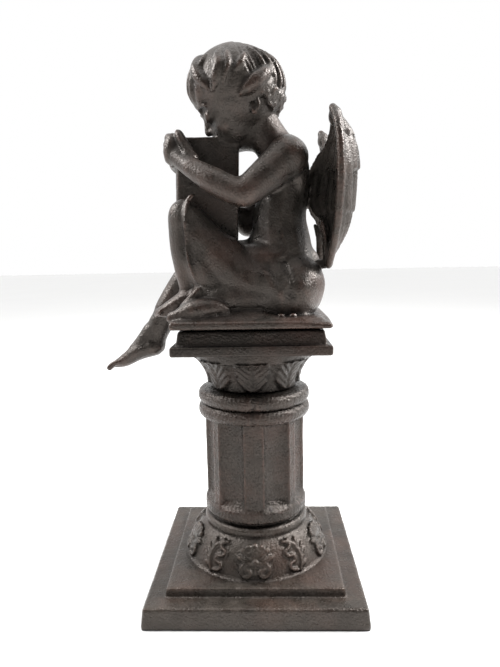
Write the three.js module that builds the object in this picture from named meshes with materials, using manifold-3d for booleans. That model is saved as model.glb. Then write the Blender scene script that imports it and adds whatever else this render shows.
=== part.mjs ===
// Cast-iron angel that reads a book, seated on a short fluted column with a leaf capital and a stepped base.
// Millimetres, +Z up. The origin is the centre of the underside. The figure faces -X and its left side is -Y.
import * as THREE from "three";
import { mergeVertices } from "three/addons/utils/BufferGeometryUtils.js";
import Module from "manifold-3d";

const wasm = await Module();
wasm.setup();

// Base: a drafted plinth, a smaller step on it and an ornamented bell
const PLINTH_SIDE = 122.6;
const PLINTH_TOP_SIDE = 120;
const PLINTH_TOP = 11.8;
const STEP_SIDE = 99.4;
const STEP_TOP = 16.5;
const EDGE_ROUND = 1.2;
const BELL_FOOT_RADIUS = 41;
const BELL_FOOT_TOP = 17.9;
const BELL_NECK_RADIUS = 28.6;
const BELL_COLLAR_RADIUS = 30.6;
const BELL_COLLAR_LOW = 35;
const BELL_TOP = 43.2;
const MOTIF_PAIRS = 5;
const MOTIF_HEIGHT = 26;
const MOTIF_RELIEF = 2.4;
const MOTIF_ROOT = 6;
const BELL_SLOPE = 0.36;
const ROSETTE_PETALS = 6;
const PETAL_POINTS = 3;
const ROSETTE_RADIUS = 8.6;
const SPRAY_STEPS = 6;
const SPRAY_LENGTH = 17;
const SPRAY_HALF_WIDTH = 7.4;
const SPRAY_SWAY = 1.8;

// Column: one plain ring, a shaft with eight flutes, left and right at each of these turns, and two round rings
const COLUMN_BOTTOM = 43.5;
const FOOT_RING_RADIUS = 30.9;
const SHAFT_LOW = 52;
const SHAFT_TOP = 102;
const SHAFT_RADIUS = 29.6;
const FLUTE_TURNS = [27, 69, 111, 153];
const FLUTE_RADIUS = 10.4;
const FLUTE_DEPTH = 3.4;
const FLUTE_SILL = 1.4;
const RING_RADIUS = 33.5;
const RING_GROOVE_RADIUS = 31.4;
const RING_HEIGHT = 8.4;
const COLUMN_TOP = 119.3;

// Capital: a leaf bell, a square slab and a dark tapered block
const CAPITAL_BOTTOM = 119.6;
const CAPITAL_LOW_RADIUS = 25.4;
const CAPITAL_RIM_RADIUS = 34.4;
const CAPITAL_RIM_LOW = 136.8;
const LEAVES = 8;
const LEAF_LOBES = 5;
const LEAF_POINTS = 11;
const LEAF_HALF_WIDTH = 10;
const LEAF_HEIGHT = 16;
const LEAF_THICK = 6;
const LEAF_LEAN = -0.4;
const ABACUS_SIDE = 85.1;
const ABACUS_LOW = 143.8;
const ABACUS_TOP = 149.3;
const BLOCK_LOW_SIDE = 79.1;
const BLOCK_TOP_SIDE = 76.3;
const BLOCK_TOP = 157;
const SEAT_PAD_SIDE = 72;
const SEAT_PAD_TOP = 157.9;

// Angel's seat slab
const SEAT_SIDE = 84.5;
const SEAT_LOW = 158.2;
const SEAT_TOP = 163.4;
const SEAT_BEVEL = 2.6;

// Angel's body and limbs: each run lists places [x, y, z] with the radius there as a fourth number
const TORSO = [
  [21, 0, 184, 18], [17.6, 0, 203, 17], [17.6, 0, 219, 15.4],
  [20.6, 0, 236, 14.2], [21.6, 0, 250, 10.4],
];
const TORSO_FLAT = 1.45;
const SHOULDERS = [[21.4, -19, 249.5, 10.6], [21.4, 0, 253, 11], [21.4, 19, 249.5, 10.6]];
const NECK = [[16.8, 0, 254, 11.4], [8.6, 0, 267, 10.6], [1, 0, 280, 11]];
const NEAR_UPPER_ARM = [[20.6, -20.5, 248.5, 10.8], [9.2, -25.4, 238.6, 9.2], [-2.2, -30, 228.8, 7.9]];
const NEAR_FOREARM = [
  [-2.2, -30, 228.8, 7.6], [-18.6, -25.8, 236.3, 7.2],
  [-32, -20, 244.6, 5.6], [-39.5, -15, 250.8, 5.2],
];
const FAR_UPPER_ARM = [[20.6, 20.5, 248.5, 10.8], [10, 25.4, 235, 9.2], [-0.5, 30, 221.5, 7.9]];
const FAR_FOREARM = [
  [-0.5, 30, 221.5, 7.9], [-13.8, 26.6, 231.4, 8],
  [-30, 22.5, 243.5, 6.2], [-40, 15, 251.5, 5.4],
];
const NEAR_PALM = [-40.6, -13.4, 254.6];
const FAR_PALM = [-40.4, 14, 253];
const PALM_RADII = [6.4, 5, 8];
const FINGERS = 4;
const FINGER_PITCH = 3.6;
const FINGER_RADIUS = 2.3;
const NEAR_THIGH = [[22, -16, 179, 17.5], [0, -18, 181, 15.2], [-16, -18, 194, 13.4], [-35.6, -16, 218.6, 10]];
const NEAR_SHIN = [[-36, -15.6, 218, 9.8], [-36.6, -15, 200, 8.6], [-35.2, -14, 176, 5]];
const NEAR_CALF = [[-31, -18, 208, 8.6], [-24, -19, 189, 11], [-14, -19, 176, 11]];
const NEAR_FOOT = [[-33, -14, 169.6, 5.4], [-42, -14, 169.6, 5], [-50, -14, 166.2, 3.2]];
const FOLD = [[-11, -29, 168, 5.6], [-26, -31.4, 168.6, 5.8], [-41.5, -32.6, 165.8, 3]];
const FAR_THIGH = [[22, 16, 179, 17], [-14, 17, 181, 13], [-42.6, 16, 178.4, 8.6]];
const FAR_SHIN = [[-43, 16, 179, 9], [-53.5, 16, 163.5, 8.2], [-61.4, 16, 148, 6.8]];
const FAR_FOOT = [[-62.2, 16, 141, 6.2], [-73, 16.3, 138, 5.6], [-88, 16.6, 130.2, 2.9]];
const FOOT_FLAT = 1.25;
const TOES = 3;
const SEAT_HALF = [22, 15.5, 181.4];
const SEAT_HALF_RADII = [19.4, 16.5, 19.6];
const SACRUM_CENTRE = [24, 0, 192];
const SACRUM_RADII = [15.8, 14, 12];
const BELLY_CENTRE = [5, 0, 204];
const BELLY_RADII = [12.5, 17, 14];
const UNDER_THIGH_CENTRE = [-1, -17, 179];
const UNDER_THIGH_RADII = [27, 15.4, 15.8];

// Angel's head, seen from its left: the head is bent forward over the book
const HEAD_CENTRE = [-5.8, 0, 287];
const HEAD_RADII = [24.2, 21.4, 24.4];
const JAW_CENTRE = [-10.5, 0, 272];
const JAW_RADII = [15.2, 15.4, 16.6];
const HEAD_TILT = 0.5;
const THROAT_CENTRE = [0.6, 0, 267.4];
const THROAT_RADII = [12, 11, 11.6];
const NOSE = [[-25.6, 0, 278, 1.8], [-28.4, 0, 270.5, 2.8]];
const EAR_CENTRE = [3.4, 19.2, 276.4];
const EAR_RADII = [3.2, 2.4, 4.2];
const HAIR_CENTRE = [-6.6, 0, 290.4];
const HAIR_RADII = [26.4, 23.8, 23.4];
const HAIR_EDGE = 282;
const HAIR_LOCKS = 10;
const LOCK_POLAR = [0.34, 0.72, 1.1, 1.5, 1.74];
const LOCK_RADII = [1.6, 2.8, 3.3, 3.6, 1.8];
const LOCK_SINK = 1.6;

// Iron that fills the space between the thighs, down to the slab
const LAP_CENTRE = [-3, 1, 182];
const LAP_RADII = [35, 20, 24];

// Book: two halves that open towards the face, with the spine in the hands
const BOOK_SPINE_X = -41;
const BOOK_SPINE_HALF = 5.2;
const BOOK_WIDTH = 34.8;
const BOOK_HEIGHT = 57;
const BOOK_TOP = 263.4;
const BOOK_THICK = 3.6;
const NEAR_COVER_OPEN = 0.04;
const FAR_COVER_OPEN = 0.42;
const BOOK_LEAN = 0.03;
const PAGE_THICK = 2.4;
const PAGE_INSET = 1.6;

// Wings: cupped shells from the top of the rim down to the tip
const WING_RIM = [
  [43, -30, 271], [45, -36.5, 261], [46.2, -38.5, 243],
  [46, -37, 225], [44.8, -32, 208], [42, -22, 190.5],
];
const WING_ROOT = [
  [43, -25, 270], [40.6, -16, 257], [32.6, -6, 246],
  [30.4, -4, 226], [40.2, -14, 209], [40.4, -17, 191],
];
const WING_BACK = [[46.4, 0], [54.6, 0.2], [59.2, 0.36], [58.8, 0.55], [54.4, 0.78], [43.8, 1]];
const WING_FEATHERS = 5;
const WING_ROWS = 4;
const FEATHER_RELIEF = 1.7;
const WING_EDGE = 2.6;

// Facet counts
const ROUND_SIDES = 28;
const LIMB_SIDES = 7;
const LIMB_CAP = 2;
const SMALL_SIDES = 4;
const SMALL_CAP = 1;

const iron = (name, colour, roughness) => {
  const material = new THREE.MeshStandardMaterial({ color: colour, roughness, metalness: 0.6 });
  material.name = name;
  return material;
};

// A closed geometry as a solid: only shared positions are kept, and triangles that closed up are dropped
function solidOf(geometry) {
  const bare = geometry.clone();
  bare.deleteAttribute("normal");
  bare.deleteAttribute("uv");
  const merged = mergeVertices(bare, 1e-4);
  const corners = merged.index.array;
  const kept = [];
  for (let i = 0; i < corners.length; i += 3) {
    const [a, b, c] = [corners[i], corners[i + 1], corners[i + 2]];
    if (a !== b && b !== c && a !== c) kept.push(a, b, c);
  }
  const vertProperties = new Float32Array(merged.attributes.position.array);
  return new wasm.Manifold(new wasm.Mesh({ numProp: 3, vertProperties, triVerts: new Uint32Array(kept) }));
}

const joined = (solids) => solids.reduce((whole, next) => whole.add(next));

function meshOf(solid, name, material) {
  const { vertProperties, triVerts } = solid.getMesh();
  const geometry = new THREE.BufferGeometry();
  geometry.setAttribute("position", new THREE.BufferAttribute(new Float32Array(vertProperties), 3));
  geometry.setIndex(new THREE.BufferAttribute(new Uint32Array(triVerts), 1));
  geometry.computeVertexNormals();
  const mesh = new THREE.Mesh(geometry, material);
  mesh.name = name;
  return mesh;
}

// A turned profile of [radius, height] pairs, from axis to axis, standing along Z
function turned(profile, sides) {
  const points = profile.map(([radius, height]) => new THREE.Vector2(radius, height));
  return solidOf(new THREE.LatheGeometry(points, sides).rotateX(Math.PI / 2));
}

// A square block of [side, height] levels, turned with four sides and set square to X and Y
function square(levels) {
  const low = levels[0][1];
  const top = levels[levels.length - 1][1];
  const profile = levels.map(([side, height]) => [side / Math.SQRT2, height]);
  const points = [[0, low], ...profile, [0, top]].map(([radius, height]) => new THREE.Vector2(radius, height));
  return solidOf(new THREE.LatheGeometry(points, 4).rotateX(Math.PI / 2).rotateZ(Math.PI / 4));
}

// A ball stretched to three radii, turned about its own axes and set at a place
function ball(centre, radii, turn = [0, 0, 0], sides = 9, rows = 6) {
  const geometry = new THREE.SphereGeometry(1, sides, rows);
  geometry.rotateX(Math.PI / 2).scale(...radii);
  geometry.rotateX(turn[0]).rotateY(turn[1]).rotateZ(turn[2]).translate(...centre);
  return solidOf(geometry);
}

// A round-ended limb: a capsule bent along a smooth curve through the places of a run, with the radius
// that the run gives at each. flat is how wide it is across its side vector, compared with the other way.
function limb(run, options = {}) {
  const { sides = LIMB_SIDES, cap = LIMB_CAP, flat = 1, side = [0, 1, 0], steps } = options;
  const places = run.map(([x, y, z]) => new THREE.Vector3(x, y, z));
  const radii = run.map((entry) => entry[3]);
  const curve = new THREE.CatmullRomCurve3(places, false, "centripetal");
  const across = new THREE.Vector3(...side);
  const geometry = new THREE.CapsuleGeometry(1, 1, cap, sides, steps);
  const position = geometry.attributes.position;
  for (let i = 0; i < position.count; i += 1) {
    const along = THREE.MathUtils.clamp(position.getY(i) + 0.5, 0, 1);
    const over = position.getY(i) + 0.5 - along;
    const span = along * (radii.length - 1);
    const first = Math.min(Math.floor(span), radii.length - 2);
    const radius = THREE.MathUtils.lerp(radii[first], radii[first + 1], span - first);
    const forward = curve.getTangent(along);
    const third = across.clone().cross(forward).normalize();
    const second = forward.clone().cross(third);
    const place = curve.getPoint(along);
    place.addScaledVector(forward, over * radius);
    place.addScaledVector(second, position.getX(i) * radius * flat);
    place.addScaledVector(third, position.getZ(i) * radius);
    position.setXYZ(i, place.x, place.y, place.z);
  }
  return solidOf(geometry);
}

const small = { sides: SMALL_SIDES, cap: SMALL_CAP };
const around = (radius, angle, height) => [radius * Math.sin(angle), -radius * Math.cos(angle), height];

// Outline of a rosette: a ring of round petals
function rosetteOutline() {
  const points = [];
  const count = ROSETTE_PETALS * PETAL_POINTS;
  for (let i = 0; i < count; i += 1) {
    const angle = (i * 2 * Math.PI) / count;
    const reach = ROSETTE_RADIUS * (0.7 + 0.3 * Math.abs(Math.cos((ROSETTE_PETALS * angle) / 2)) ** 0.6);
    points.push(new THREE.Vector2(-reach * Math.sin(angle), reach * Math.cos(angle)));
  }
  return points;
}

// Outline of a leaf spray: an S-shaped stem with lobes that grow narrower upwards
function sprayOutline() {
  const left = [];
  const right = [];
  for (let i = 0; i <= SPRAY_STEPS; i += 1) {
    const part = i / SPRAY_STEPS;
    const middle = SPRAY_SWAY * Math.sin(2 * Math.PI * part);
    const half = SPRAY_HALF_WIDTH * (1 - 0.6 * part) * (i % 2 === 0 ? 0.55 : 1);
    const height = SPRAY_LENGTH * (part - 0.5);
    right.push(new THREE.Vector2(middle + half, height));
    left.unshift(new THREE.Vector2(middle - half, height));
  }
  return [...right, ...left];
}

// Base
function base() {
  const plinth = square([
    [PLINTH_SIDE, 0],
    [PLINTH_TOP_SIDE + 0.6, PLINTH_TOP - EDGE_ROUND],
    [PLINTH_TOP_SIDE - EDGE_ROUND, PLINTH_TOP],
  ]);
  const step = square([
    [STEP_SIDE, PLINTH_TOP - 1],
    [STEP_SIDE - 0.6, STEP_TOP - EDGE_ROUND],
    [STEP_SIDE - 2 * EDGE_ROUND, STEP_TOP],
  ]);
  const { lerp, clamp } = THREE.MathUtils;
  const swell = (part) => lerp(BELL_FOOT_RADIUS, BELL_NECK_RADIUS, 1 - Math.cos((part * Math.PI) / 2));
  const rise = (part) => lerp(BELL_FOOT_TOP, BELL_COLLAR_LOW, Math.sin((part * Math.PI) / 2));
  const dome = [0, 0.25, 0.5, 0.75, 1].map((part) => [swell(part), rise(part)]);
  const bell = turned([
    [0, STEP_TOP - 1],
    [BELL_FOOT_RADIUS + 1, STEP_TOP - 1],
    [BELL_FOOT_RADIUS + 1, STEP_TOP + 1],
    ...dome,
    [BELL_COLLAR_RADIUS, BELL_COLLAR_LOW + 1.6],
    [BELL_COLLAR_RADIUS, BELL_COLLAR_LOW + 4.6],
    [BELL_NECK_RADIUS, BELL_TOP],
    [0, BELL_TOP],
  ], ROUND_SIDES);
  const bellRadius = (height) => {
    const part = clamp((height - BELL_FOOT_TOP) / (BELL_COLLAR_LOW - BELL_FOOT_TOP), 0, 1);
    return swell(Math.asin(part) / (Math.PI / 2));
  };
  const motifs = [];
  for (let k = 0; k < 2 * MOTIF_PAIRS; k += 1) {
    const outline = k % 2 === 0 ? rosetteOutline() : sprayOutline();
    const raised = new THREE.ExtrudeGeometry(new THREE.Shape(outline), {
      depth: MOTIF_RELIEF + MOTIF_ROOT, bevelEnabled: false, curveSegments: 1,
    });
    raised.translate(0, 0, -MOTIF_ROOT).rotateX(Math.PI / 2 - BELL_SLOPE);
    raised.translate(0, -bellRadius(MOTIF_HEIGHT), MOTIF_HEIGHT).rotateZ(k * Math.PI / MOTIF_PAIRS);
    motifs.push(solidOf(raised));
  }
  return joined([plinth, step, bell, ...motifs]);
}

// Column
function column() {
  const footRing = turned([
    [0, COLUMN_BOTTOM],
    [FOOT_RING_RADIUS - 1, COLUMN_BOTTOM],
    [FOOT_RING_RADIUS, COLUMN_BOTTOM + 2],
    [FOOT_RING_RADIUS, SHAFT_LOW - 2.4],
    [SHAFT_RADIUS - 0.4, SHAFT_LOW + 0.4],
    [0, SHAFT_LOW + 0.4],
  ], ROUND_SIDES);
  let shaft = turned([
    [0, SHAFT_LOW - 1],
    [SHAFT_RADIUS, SHAFT_LOW - 1],
    [SHAFT_RADIUS, SHAFT_TOP + 1],
    [0, SHAFT_TOP + 1],
  ], ROUND_SIDES);
  const turns = FLUTE_TURNS.flatMap((turn) => [turn, -turn]);
  for (const angle of turns.map(THREE.MathUtils.degToRad)) {
    const reach = SHAFT_RADIUS + FLUTE_RADIUS - FLUTE_DEPTH;
    const ends = [SHAFT_LOW + FLUTE_SILL + FLUTE_RADIUS, SHAFT_TOP + FLUTE_RADIUS];
    const run = ends.map((height) => [...around(reach, angle, height), FLUTE_RADIUS]);
    shaft = shaft.subtract(limb(run, { sides: 8, steps: 1, side: around(1, angle, 0) }));
  }
  const ringProfile = (low) => [-0.5, -0.3, 0, 0.3, 0.5].map((part) => {
    const swell = Math.sqrt(1 - (1.9 * part) ** 2);
    return [THREE.MathUtils.lerp(RING_GROOVE_RADIUS, RING_RADIUS, swell), low + RING_HEIGHT * (part + 0.5)];
  });
  const rings = turned([
    [0, SHAFT_TOP],
    ...ringProfile(SHAFT_TOP),
    ...ringProfile(SHAFT_TOP + RING_HEIGHT + 0.2),
    [CAPITAL_LOW_RADIUS + 2.4, COLUMN_TOP],
    [0, COLUMN_TOP],
  ], ROUND_SIDES);
  return joined([footRing, shaft, rings]);
}

// Capital
function capital() {
  const flare = (part) => THREE.MathUtils.lerp(CAPITAL_LOW_RADIUS, CAPITAL_RIM_RADIUS - 1.4, part ** 2.2);
  const bell = [0, 0.3, 0.55, 0.8, 1].map((part) => {
    return [flare(part), THREE.MathUtils.lerp(CAPITAL_BOTTOM, CAPITAL_RIM_LOW, part)];
  });
  const solids = [turned([
    [0, CAPITAL_BOTTOM],
    ...bell,
    [CAPITAL_RIM_RADIUS, CAPITAL_RIM_LOW + 0.6],
    [CAPITAL_RIM_RADIUS + 0.9, ABACUS_LOW + 0.2],
    [0, ABACUS_LOW + 0.2],
  ], ROUND_SIDES)];
  for (let k = 0; k < LEAVES; k += 1) {
    const outline = [];
    for (let i = 0; i <= LEAF_POINTS; i += 1) {
      const angle = Math.PI + (i * Math.PI) / LEAF_POINTS;
      const reach = 0.84 + 0.16 * Math.abs(Math.sin(LEAF_LOBES * angle)) ** 0.7;
      const [along, down] = [Math.cos(angle) * reach, Math.sin(angle) * reach];
      outline.push(new THREE.Vector2(LEAF_HALF_WIDTH * along, LEAF_HEIGHT * down));
    }
    const leaf = new THREE.ExtrudeGeometry(new THREE.Shape(outline), {
      depth: LEAF_THICK, bevelEnabled: false, curveSegments: 1,
    });
    leaf.translate(0, 0, -LEAF_THICK).rotateX(Math.PI / 2 - LEAF_LEAN);
    leaf.translate(0, -CAPITAL_RIM_RADIUS + 0.2, CAPITAL_RIM_LOW + 0.4).rotateZ((k * 2 * Math.PI) / LEAVES);
    solids.push(solidOf(leaf));
  }
  solids.push(square([
    [ABACUS_SIDE - 1.4, ABACUS_LOW],
    [ABACUS_SIDE, ABACUS_LOW + 0.9],
    [ABACUS_SIDE, ABACUS_TOP - 1.8],
    [BLOCK_LOW_SIDE, ABACUS_TOP],
    [BLOCK_TOP_SIDE, BLOCK_TOP],
    [SEAT_PAD_SIDE, BLOCK_TOP + 0.2],
    [SEAT_PAD_SIDE, SEAT_PAD_TOP],
  ]));
  return joined(solids);
}

// One wing, from a flat box whose two large faces become the cupped front and the feathered back.
// hand is -1 for the near wing and 1 for the far one.
function wing(hand) {
  const curve = (places) => new THREE.CatmullRomCurve3(places.map((place) => new THREE.Vector3(...place)));
  const rim = curve(WING_RIM);
  const root = curve(WING_ROOT);
  const outline = new THREE.SplineCurve(WING_BACK.map(([reach, part]) => new THREE.Vector2(reach, part)));
  const across = 7;
  const down = 8;
  const geometry = new THREE.BoxGeometry(1, 1, 1, across, down, 1);
  const position = geometry.attributes.position;
  for (let i = 0; i < position.count; i += 1) {
    const u = position.getX(i) + 0.5;
    const v = 0.5 - position.getY(i);
    const isBack = position.getZ(i) > 0;
    const place = root.getPoint(v).lerp(rim.getPoint(v), u);
    const bow = Math.sin(Math.PI * Math.min(0.06 + 0.9 * u, 1));
    const reach = Math.max(outline.getPoint(v).x - place.x - WING_EDGE, 0);
    const row = (v * WING_ROWS) % 1;
    const quill = Math.abs(Math.sin(Math.PI * WING_FEATHERS * (u + 0.1 * row)));
    const relief = FEATHER_RELIEF * (0.6 * quill + 0.7 * row) * bow;
    if (isBack) place.x += WING_EDGE + reach * bow ** 0.8 - FEATHER_RELIEF + relief;
    else place.x += 0.35 * reach * bow;
    position.setXYZ(i, place.x, -hand * place.y, place.z);
  }
  if (hand < 0) {
    const corners = geometry.index.array;
    for (let i = 0; i < corners.length; i += 3) {
      [corners[i], corners[i + 1]] = [corners[i + 1], corners[i]];
    }
  }
  return solidOf(geometry);
}

// The book: cover plates with a page block inside each and a rounded spine
function book() {
  const middle = BOOK_TOP - BOOK_HEIGHT / 2;
  const solids = [];
  for (const [hand, open] of [[-1, NEAR_COVER_OPEN], [1, FAR_COVER_OPEN]]) {
    const half = new THREE.BoxGeometry(BOOK_WIDTH, BOOK_THICK, BOOK_HEIGHT);
    half.translate(BOOK_WIDTH / 2, 0, 0);
    const pages = new THREE.BoxGeometry(BOOK_WIDTH - PAGE_INSET, PAGE_THICK + 1, BOOK_HEIGHT - 2 * PAGE_INSET);
    pages.translate((BOOK_WIDTH - PAGE_INSET) / 2, -hand * (BOOK_THICK + PAGE_THICK - 1) / 2, 0);
    for (const plate of [half, pages]) {
      plate.rotateZ(hand * open).translate(0, hand * BOOK_SPINE_HALF, 0);
      plate.rotateY(BOOK_LEAN).translate(BOOK_SPINE_X, 0, middle);
      solids.push(solidOf(plate));
    }
  }
  const spine = new THREE.CylinderGeometry(1, 1, BOOK_HEIGHT, 10).rotateX(Math.PI / 2);
  spine.scale(BOOK_THICK * 0.8, BOOK_SPINE_HALF + BOOK_THICK / 2, 1);
  solids.push(solidOf(spine.rotateY(BOOK_LEAN).translate(BOOK_SPINE_X + 1, 0, middle)));
  return joined(solids);
}

// Hair: a cap cut off along its lower edge, with locks that run from the crown to that edge
function hair() {
  const cap = ball(HAIR_CENTRE, HAIR_RADII, [0, 0, 0], 13, 8);
  const below = new THREE.BoxGeometry(90, 90, 60).rotateY(-0.08).translate(HAIR_CENTRE[0], 0, HAIR_EDGE - 30);
  const solids = [cap.subtract(solidOf(below))];
  for (let k = 0; k < HAIR_LOCKS; k += 1) {
    const angle = (k + 0.5) * (2 * Math.PI / HAIR_LOCKS);
    const run = LOCK_POLAR.map((polar, i) => {
      const sway = angle + 0.16 * Math.sin(i * 1.4 + k);
      return [
        HAIR_CENTRE[0] + (HAIR_RADII[0] - LOCK_SINK) * Math.sin(polar) * Math.cos(sway),
        HAIR_CENTRE[1] + (HAIR_RADII[1] - LOCK_SINK) * Math.sin(polar) * Math.sin(sway),
        HAIR_CENTRE[2] + (HAIR_RADII[2] - LOCK_SINK) * Math.cos(polar),
        LOCK_RADII[i],
      ];
    });
    const outward = [Math.cos(angle), Math.sin(angle), 0];
    solids.push(limb(run, { ...small, steps: 3, side: outward }));
  }
  return joined(solids);
}

// A foot from heel to toes, with the great toe on the side that inner gives
function foot(run, inner) {
  const solids = [limb(run, { steps: 4, flat: FOOT_FLAT })];
  const [x, y, z, radius] = run[run.length - 1];
  for (let k = 0; k < TOES; k += 1) {
    const spread = inner * (1.1 - k) * radius * 1.1;
    const start = [x + 4, y + spread * 0.9, z, radius * 0.7];
    const tip = [x - radius * (1.1 - 0.35 * k), y + spread, z - radius * 0.25, radius * (0.62 - 0.08 * k)];
    solids.push(limb([start, tip], { ...small, steps: 1, side: [0, 0, 1] }));
  }
  return joined(solids);
}

// A hand that grips the spine: a palm, bent fingers and a raised thumb. side is -1 near and 1 far.
function hand(palm, side) {
  const [x, y, z] = palm;
  const solids = [ball(palm, PALM_RADII, [0, 0.6, 0], 8, 6)];
  for (let k = 0; k < FINGERS; k += 1) {
    const height = z + FINGER_PITCH * ((FINGERS - 1) / 2 - k);
    const knuckle = [x - 1, y + side * 1.5, height, FINGER_RADIUS];
    const bend = [x - 6, y - side * 3.5, height + 1.2, FINGER_RADIUS];
    const tip = [x - 5.4, y - side * 9, height + 1.2, FINGER_RADIUS * 0.8];
    solids.push(limb([knuckle, bend, tip], { ...small, steps: 2, side: [0, 0, 1] }));
  }
  const thumb = [[x + 2, y + side * 1.5, z + 4, 2.7], [x + 2.6, y + side * 1.2, z + 11.4, 2.1]];
  solids.push(limb(thumb, { ...small, steps: 2 }));
  return joined(solids);
}

// Angel: the seat slab, the figure, its book and its wings are one casting
function angel() {
  const seat = square([
    [SEAT_SIDE - 0.8, SEAT_LOW],
    [SEAT_SIDE, SEAT_LOW + 0.8],
    [SEAT_SIDE - 0.6, SEAT_LOW + 3.2],
    [SEAT_SIDE - 2 * SEAT_BEVEL, SEAT_TOP - 0.6],
    [SEAT_SIDE - 4 * SEAT_BEVEL, SEAT_TOP],
  ]);
  const head = [
    limb(NECK, { steps: 4 }),
    ball(THROAT_CENTRE, THROAT_RADII),
    ball(HEAD_CENTRE, HEAD_RADII, [0, -HEAD_TILT, 0], 11, 7),
    ball(JAW_CENTRE, JAW_RADII, [0, -HEAD_TILT, 0]),
    limb(NOSE, { ...small, steps: 2 }),
    hair(),
  ];
  const body = [
    limb(TORSO, { sides: 12, steps: 6, flat: TORSO_FLAT }),
    limb(SHOULDERS, { steps: 4, side: [0, 0, 1] }),
    ball(BELLY_CENTRE, BELLY_RADII),
    ball(LAP_CENTRE, LAP_RADII),
    ball(SACRUM_CENTRE, SACRUM_RADII),
  ];
  for (const side of [-1, 1]) {
    head.push(ball([EAR_CENTRE[0], side * EAR_CENTRE[1], EAR_CENTRE[2]], EAR_RADII, [0, -0.3, 0], 8, 6));
    body.push(ball([SEAT_HALF[0], side * SEAT_HALF[1], SEAT_HALF[2]], SEAT_HALF_RADII));
    body.push(wing(side));
  }
  const arms = [
    limb(NEAR_UPPER_ARM, { steps: 3 }),
    limb(NEAR_FOREARM, { steps: 4 }),
    hand(NEAR_PALM, -1),
    limb(FAR_UPPER_ARM, { steps: 3 }),
    limb(FAR_FOREARM, { steps: 4 }),
    hand(FAR_PALM, 1),
  ];
  // The near leg is raised, and a rounded fold ends in front of its foot.
  // The far leg hangs over the slab's edge.
  const legs = [
    limb(NEAR_THIGH, { steps: 5 }),
    limb(NEAR_SHIN, { steps: 4 }),
    limb(NEAR_CALF, { steps: 3 }),
    ball(UNDER_THIGH_CENTRE, UNDER_THIGH_RADII),
    foot(NEAR_FOOT, 1),
    limb(FOLD, { steps: 4 }),
    limb(FAR_THIGH, { steps: 4 }),
    limb(FAR_SHIN, { steps: 4 }),
    foot(FAR_FOOT, -1),
  ];
  return joined([seat, ...body, ...head, book(), ...arms, ...legs]);
}

const statue = new THREE.Group();
statue.add(
  meshOf(base(), "base", iron("weathered iron", 0x3a322e, 0.5)),
  meshOf(column(), "column", iron("weathered iron", 0x342a27, 0.5)),
  meshOf(capital(), "capital", iron("dark iron", 0x2c2422, 0.5)),
  meshOf(angel(), "angel", iron("dark iron", 0x2b2321, 0.42)),
);

export default statue;
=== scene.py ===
import bpy
import math
import numpy as np
from mathutils import Matrix, Vector


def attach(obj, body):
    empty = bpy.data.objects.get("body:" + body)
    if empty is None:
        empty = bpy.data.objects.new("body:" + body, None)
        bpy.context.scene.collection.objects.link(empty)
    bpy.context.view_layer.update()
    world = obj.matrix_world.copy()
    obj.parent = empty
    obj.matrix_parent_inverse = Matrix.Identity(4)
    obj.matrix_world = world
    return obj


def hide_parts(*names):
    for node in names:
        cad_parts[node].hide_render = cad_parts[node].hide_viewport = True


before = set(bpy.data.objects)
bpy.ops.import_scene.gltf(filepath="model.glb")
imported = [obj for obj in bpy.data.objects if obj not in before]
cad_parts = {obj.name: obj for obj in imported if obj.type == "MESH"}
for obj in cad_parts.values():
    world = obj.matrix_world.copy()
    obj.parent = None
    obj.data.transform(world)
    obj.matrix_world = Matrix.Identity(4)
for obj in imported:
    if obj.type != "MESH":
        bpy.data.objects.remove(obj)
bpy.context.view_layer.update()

# Studio: a pale floor without edges in view, a white wall of light behind and a soft light at each side.
# A weak wide light comes from overhead. The camera stands close to the statue, a little above its seat,
# and looks slightly down at the figure's left side.
FLOOR_SIDE = 16
FLOOR_MOTTLE = 3.0
FLOOR_DARKER = (0.85, 0.85, 0.845, 1)
FLOOR_LIGHTER = (0.88, 0.88, 0.875, 1)
FLOOR_ROUGHNESS = 0.8
WALL_COLOUR = (1.0, 1.0, 1.0, 1)
WALL_SEEN = 1.0
WALL_FRONT = 0.04
WALL_BACK = 1.1
WALL_FADE_FROM = -0.55
WALL_FADE_TO = 0.35
LIGHT_AIM = (0, 0, 0.16)
LIGHT_SIDE = 0.4
LEFT_LIGHT_PLACE = (-0.8, 0.06, 0.8)
LEFT_LIGHT_WATTS = 9.6
RIGHT_LIGHT_PLACE = (0.84, 0.1, 0.78)
RIGHT_LIGHT_WATTS = 20
CEILING_PLACE = (0, 0, 2)
CEILING_SPREAD = math.radians(70)
CEILING_STRENGTH = 1.2
CAMERA_PLACE = (0.00857, -0.3198, 0.1951)
CAMERA_TURN = math.radians(1.83)
CAMERA_DOWN = math.radians(7.98)
CAMERA_ROLL = math.radians(-1.13)
CAMERA_SENSOR = 36
CAMERA_LENS = 28.99
CAMERA_NEAREST = 0.01

bpy.ops.mesh.primitive_plane_add(size=FLOOR_SIDE)
floor = bpy.context.object
floor.name = "studio_floor"
floor_paint = bpy.data.materials.new("studio_floor_paint")
floor_paint.use_nodes = True
nodes = floor_paint.node_tree.nodes
links = floor_paint.node_tree.links
place = nodes.new("ShaderNodeTexCoord")
mottle = nodes.new("ShaderNodeTexNoise")
mottle.inputs["Scale"].default_value = FLOOR_MOTTLE
tint = nodes.new("ShaderNodeValToRGB")
tint.color_ramp.elements[0].color = FLOOR_DARKER
tint.color_ramp.elements[1].color = FLOOR_LIGHTER
links.new(place.outputs["Object"], mottle.inputs["Vector"])
links.new(mottle.outputs["Fac"], tint.inputs["Fac"])
links.new(tint.outputs["Color"], nodes["Principled BSDF"].inputs["Base Color"])
nodes["Principled BSDF"].inputs["Roughness"].default_value = FLOOR_ROUGHNESS
floor.data.materials.append(floor_paint)

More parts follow.
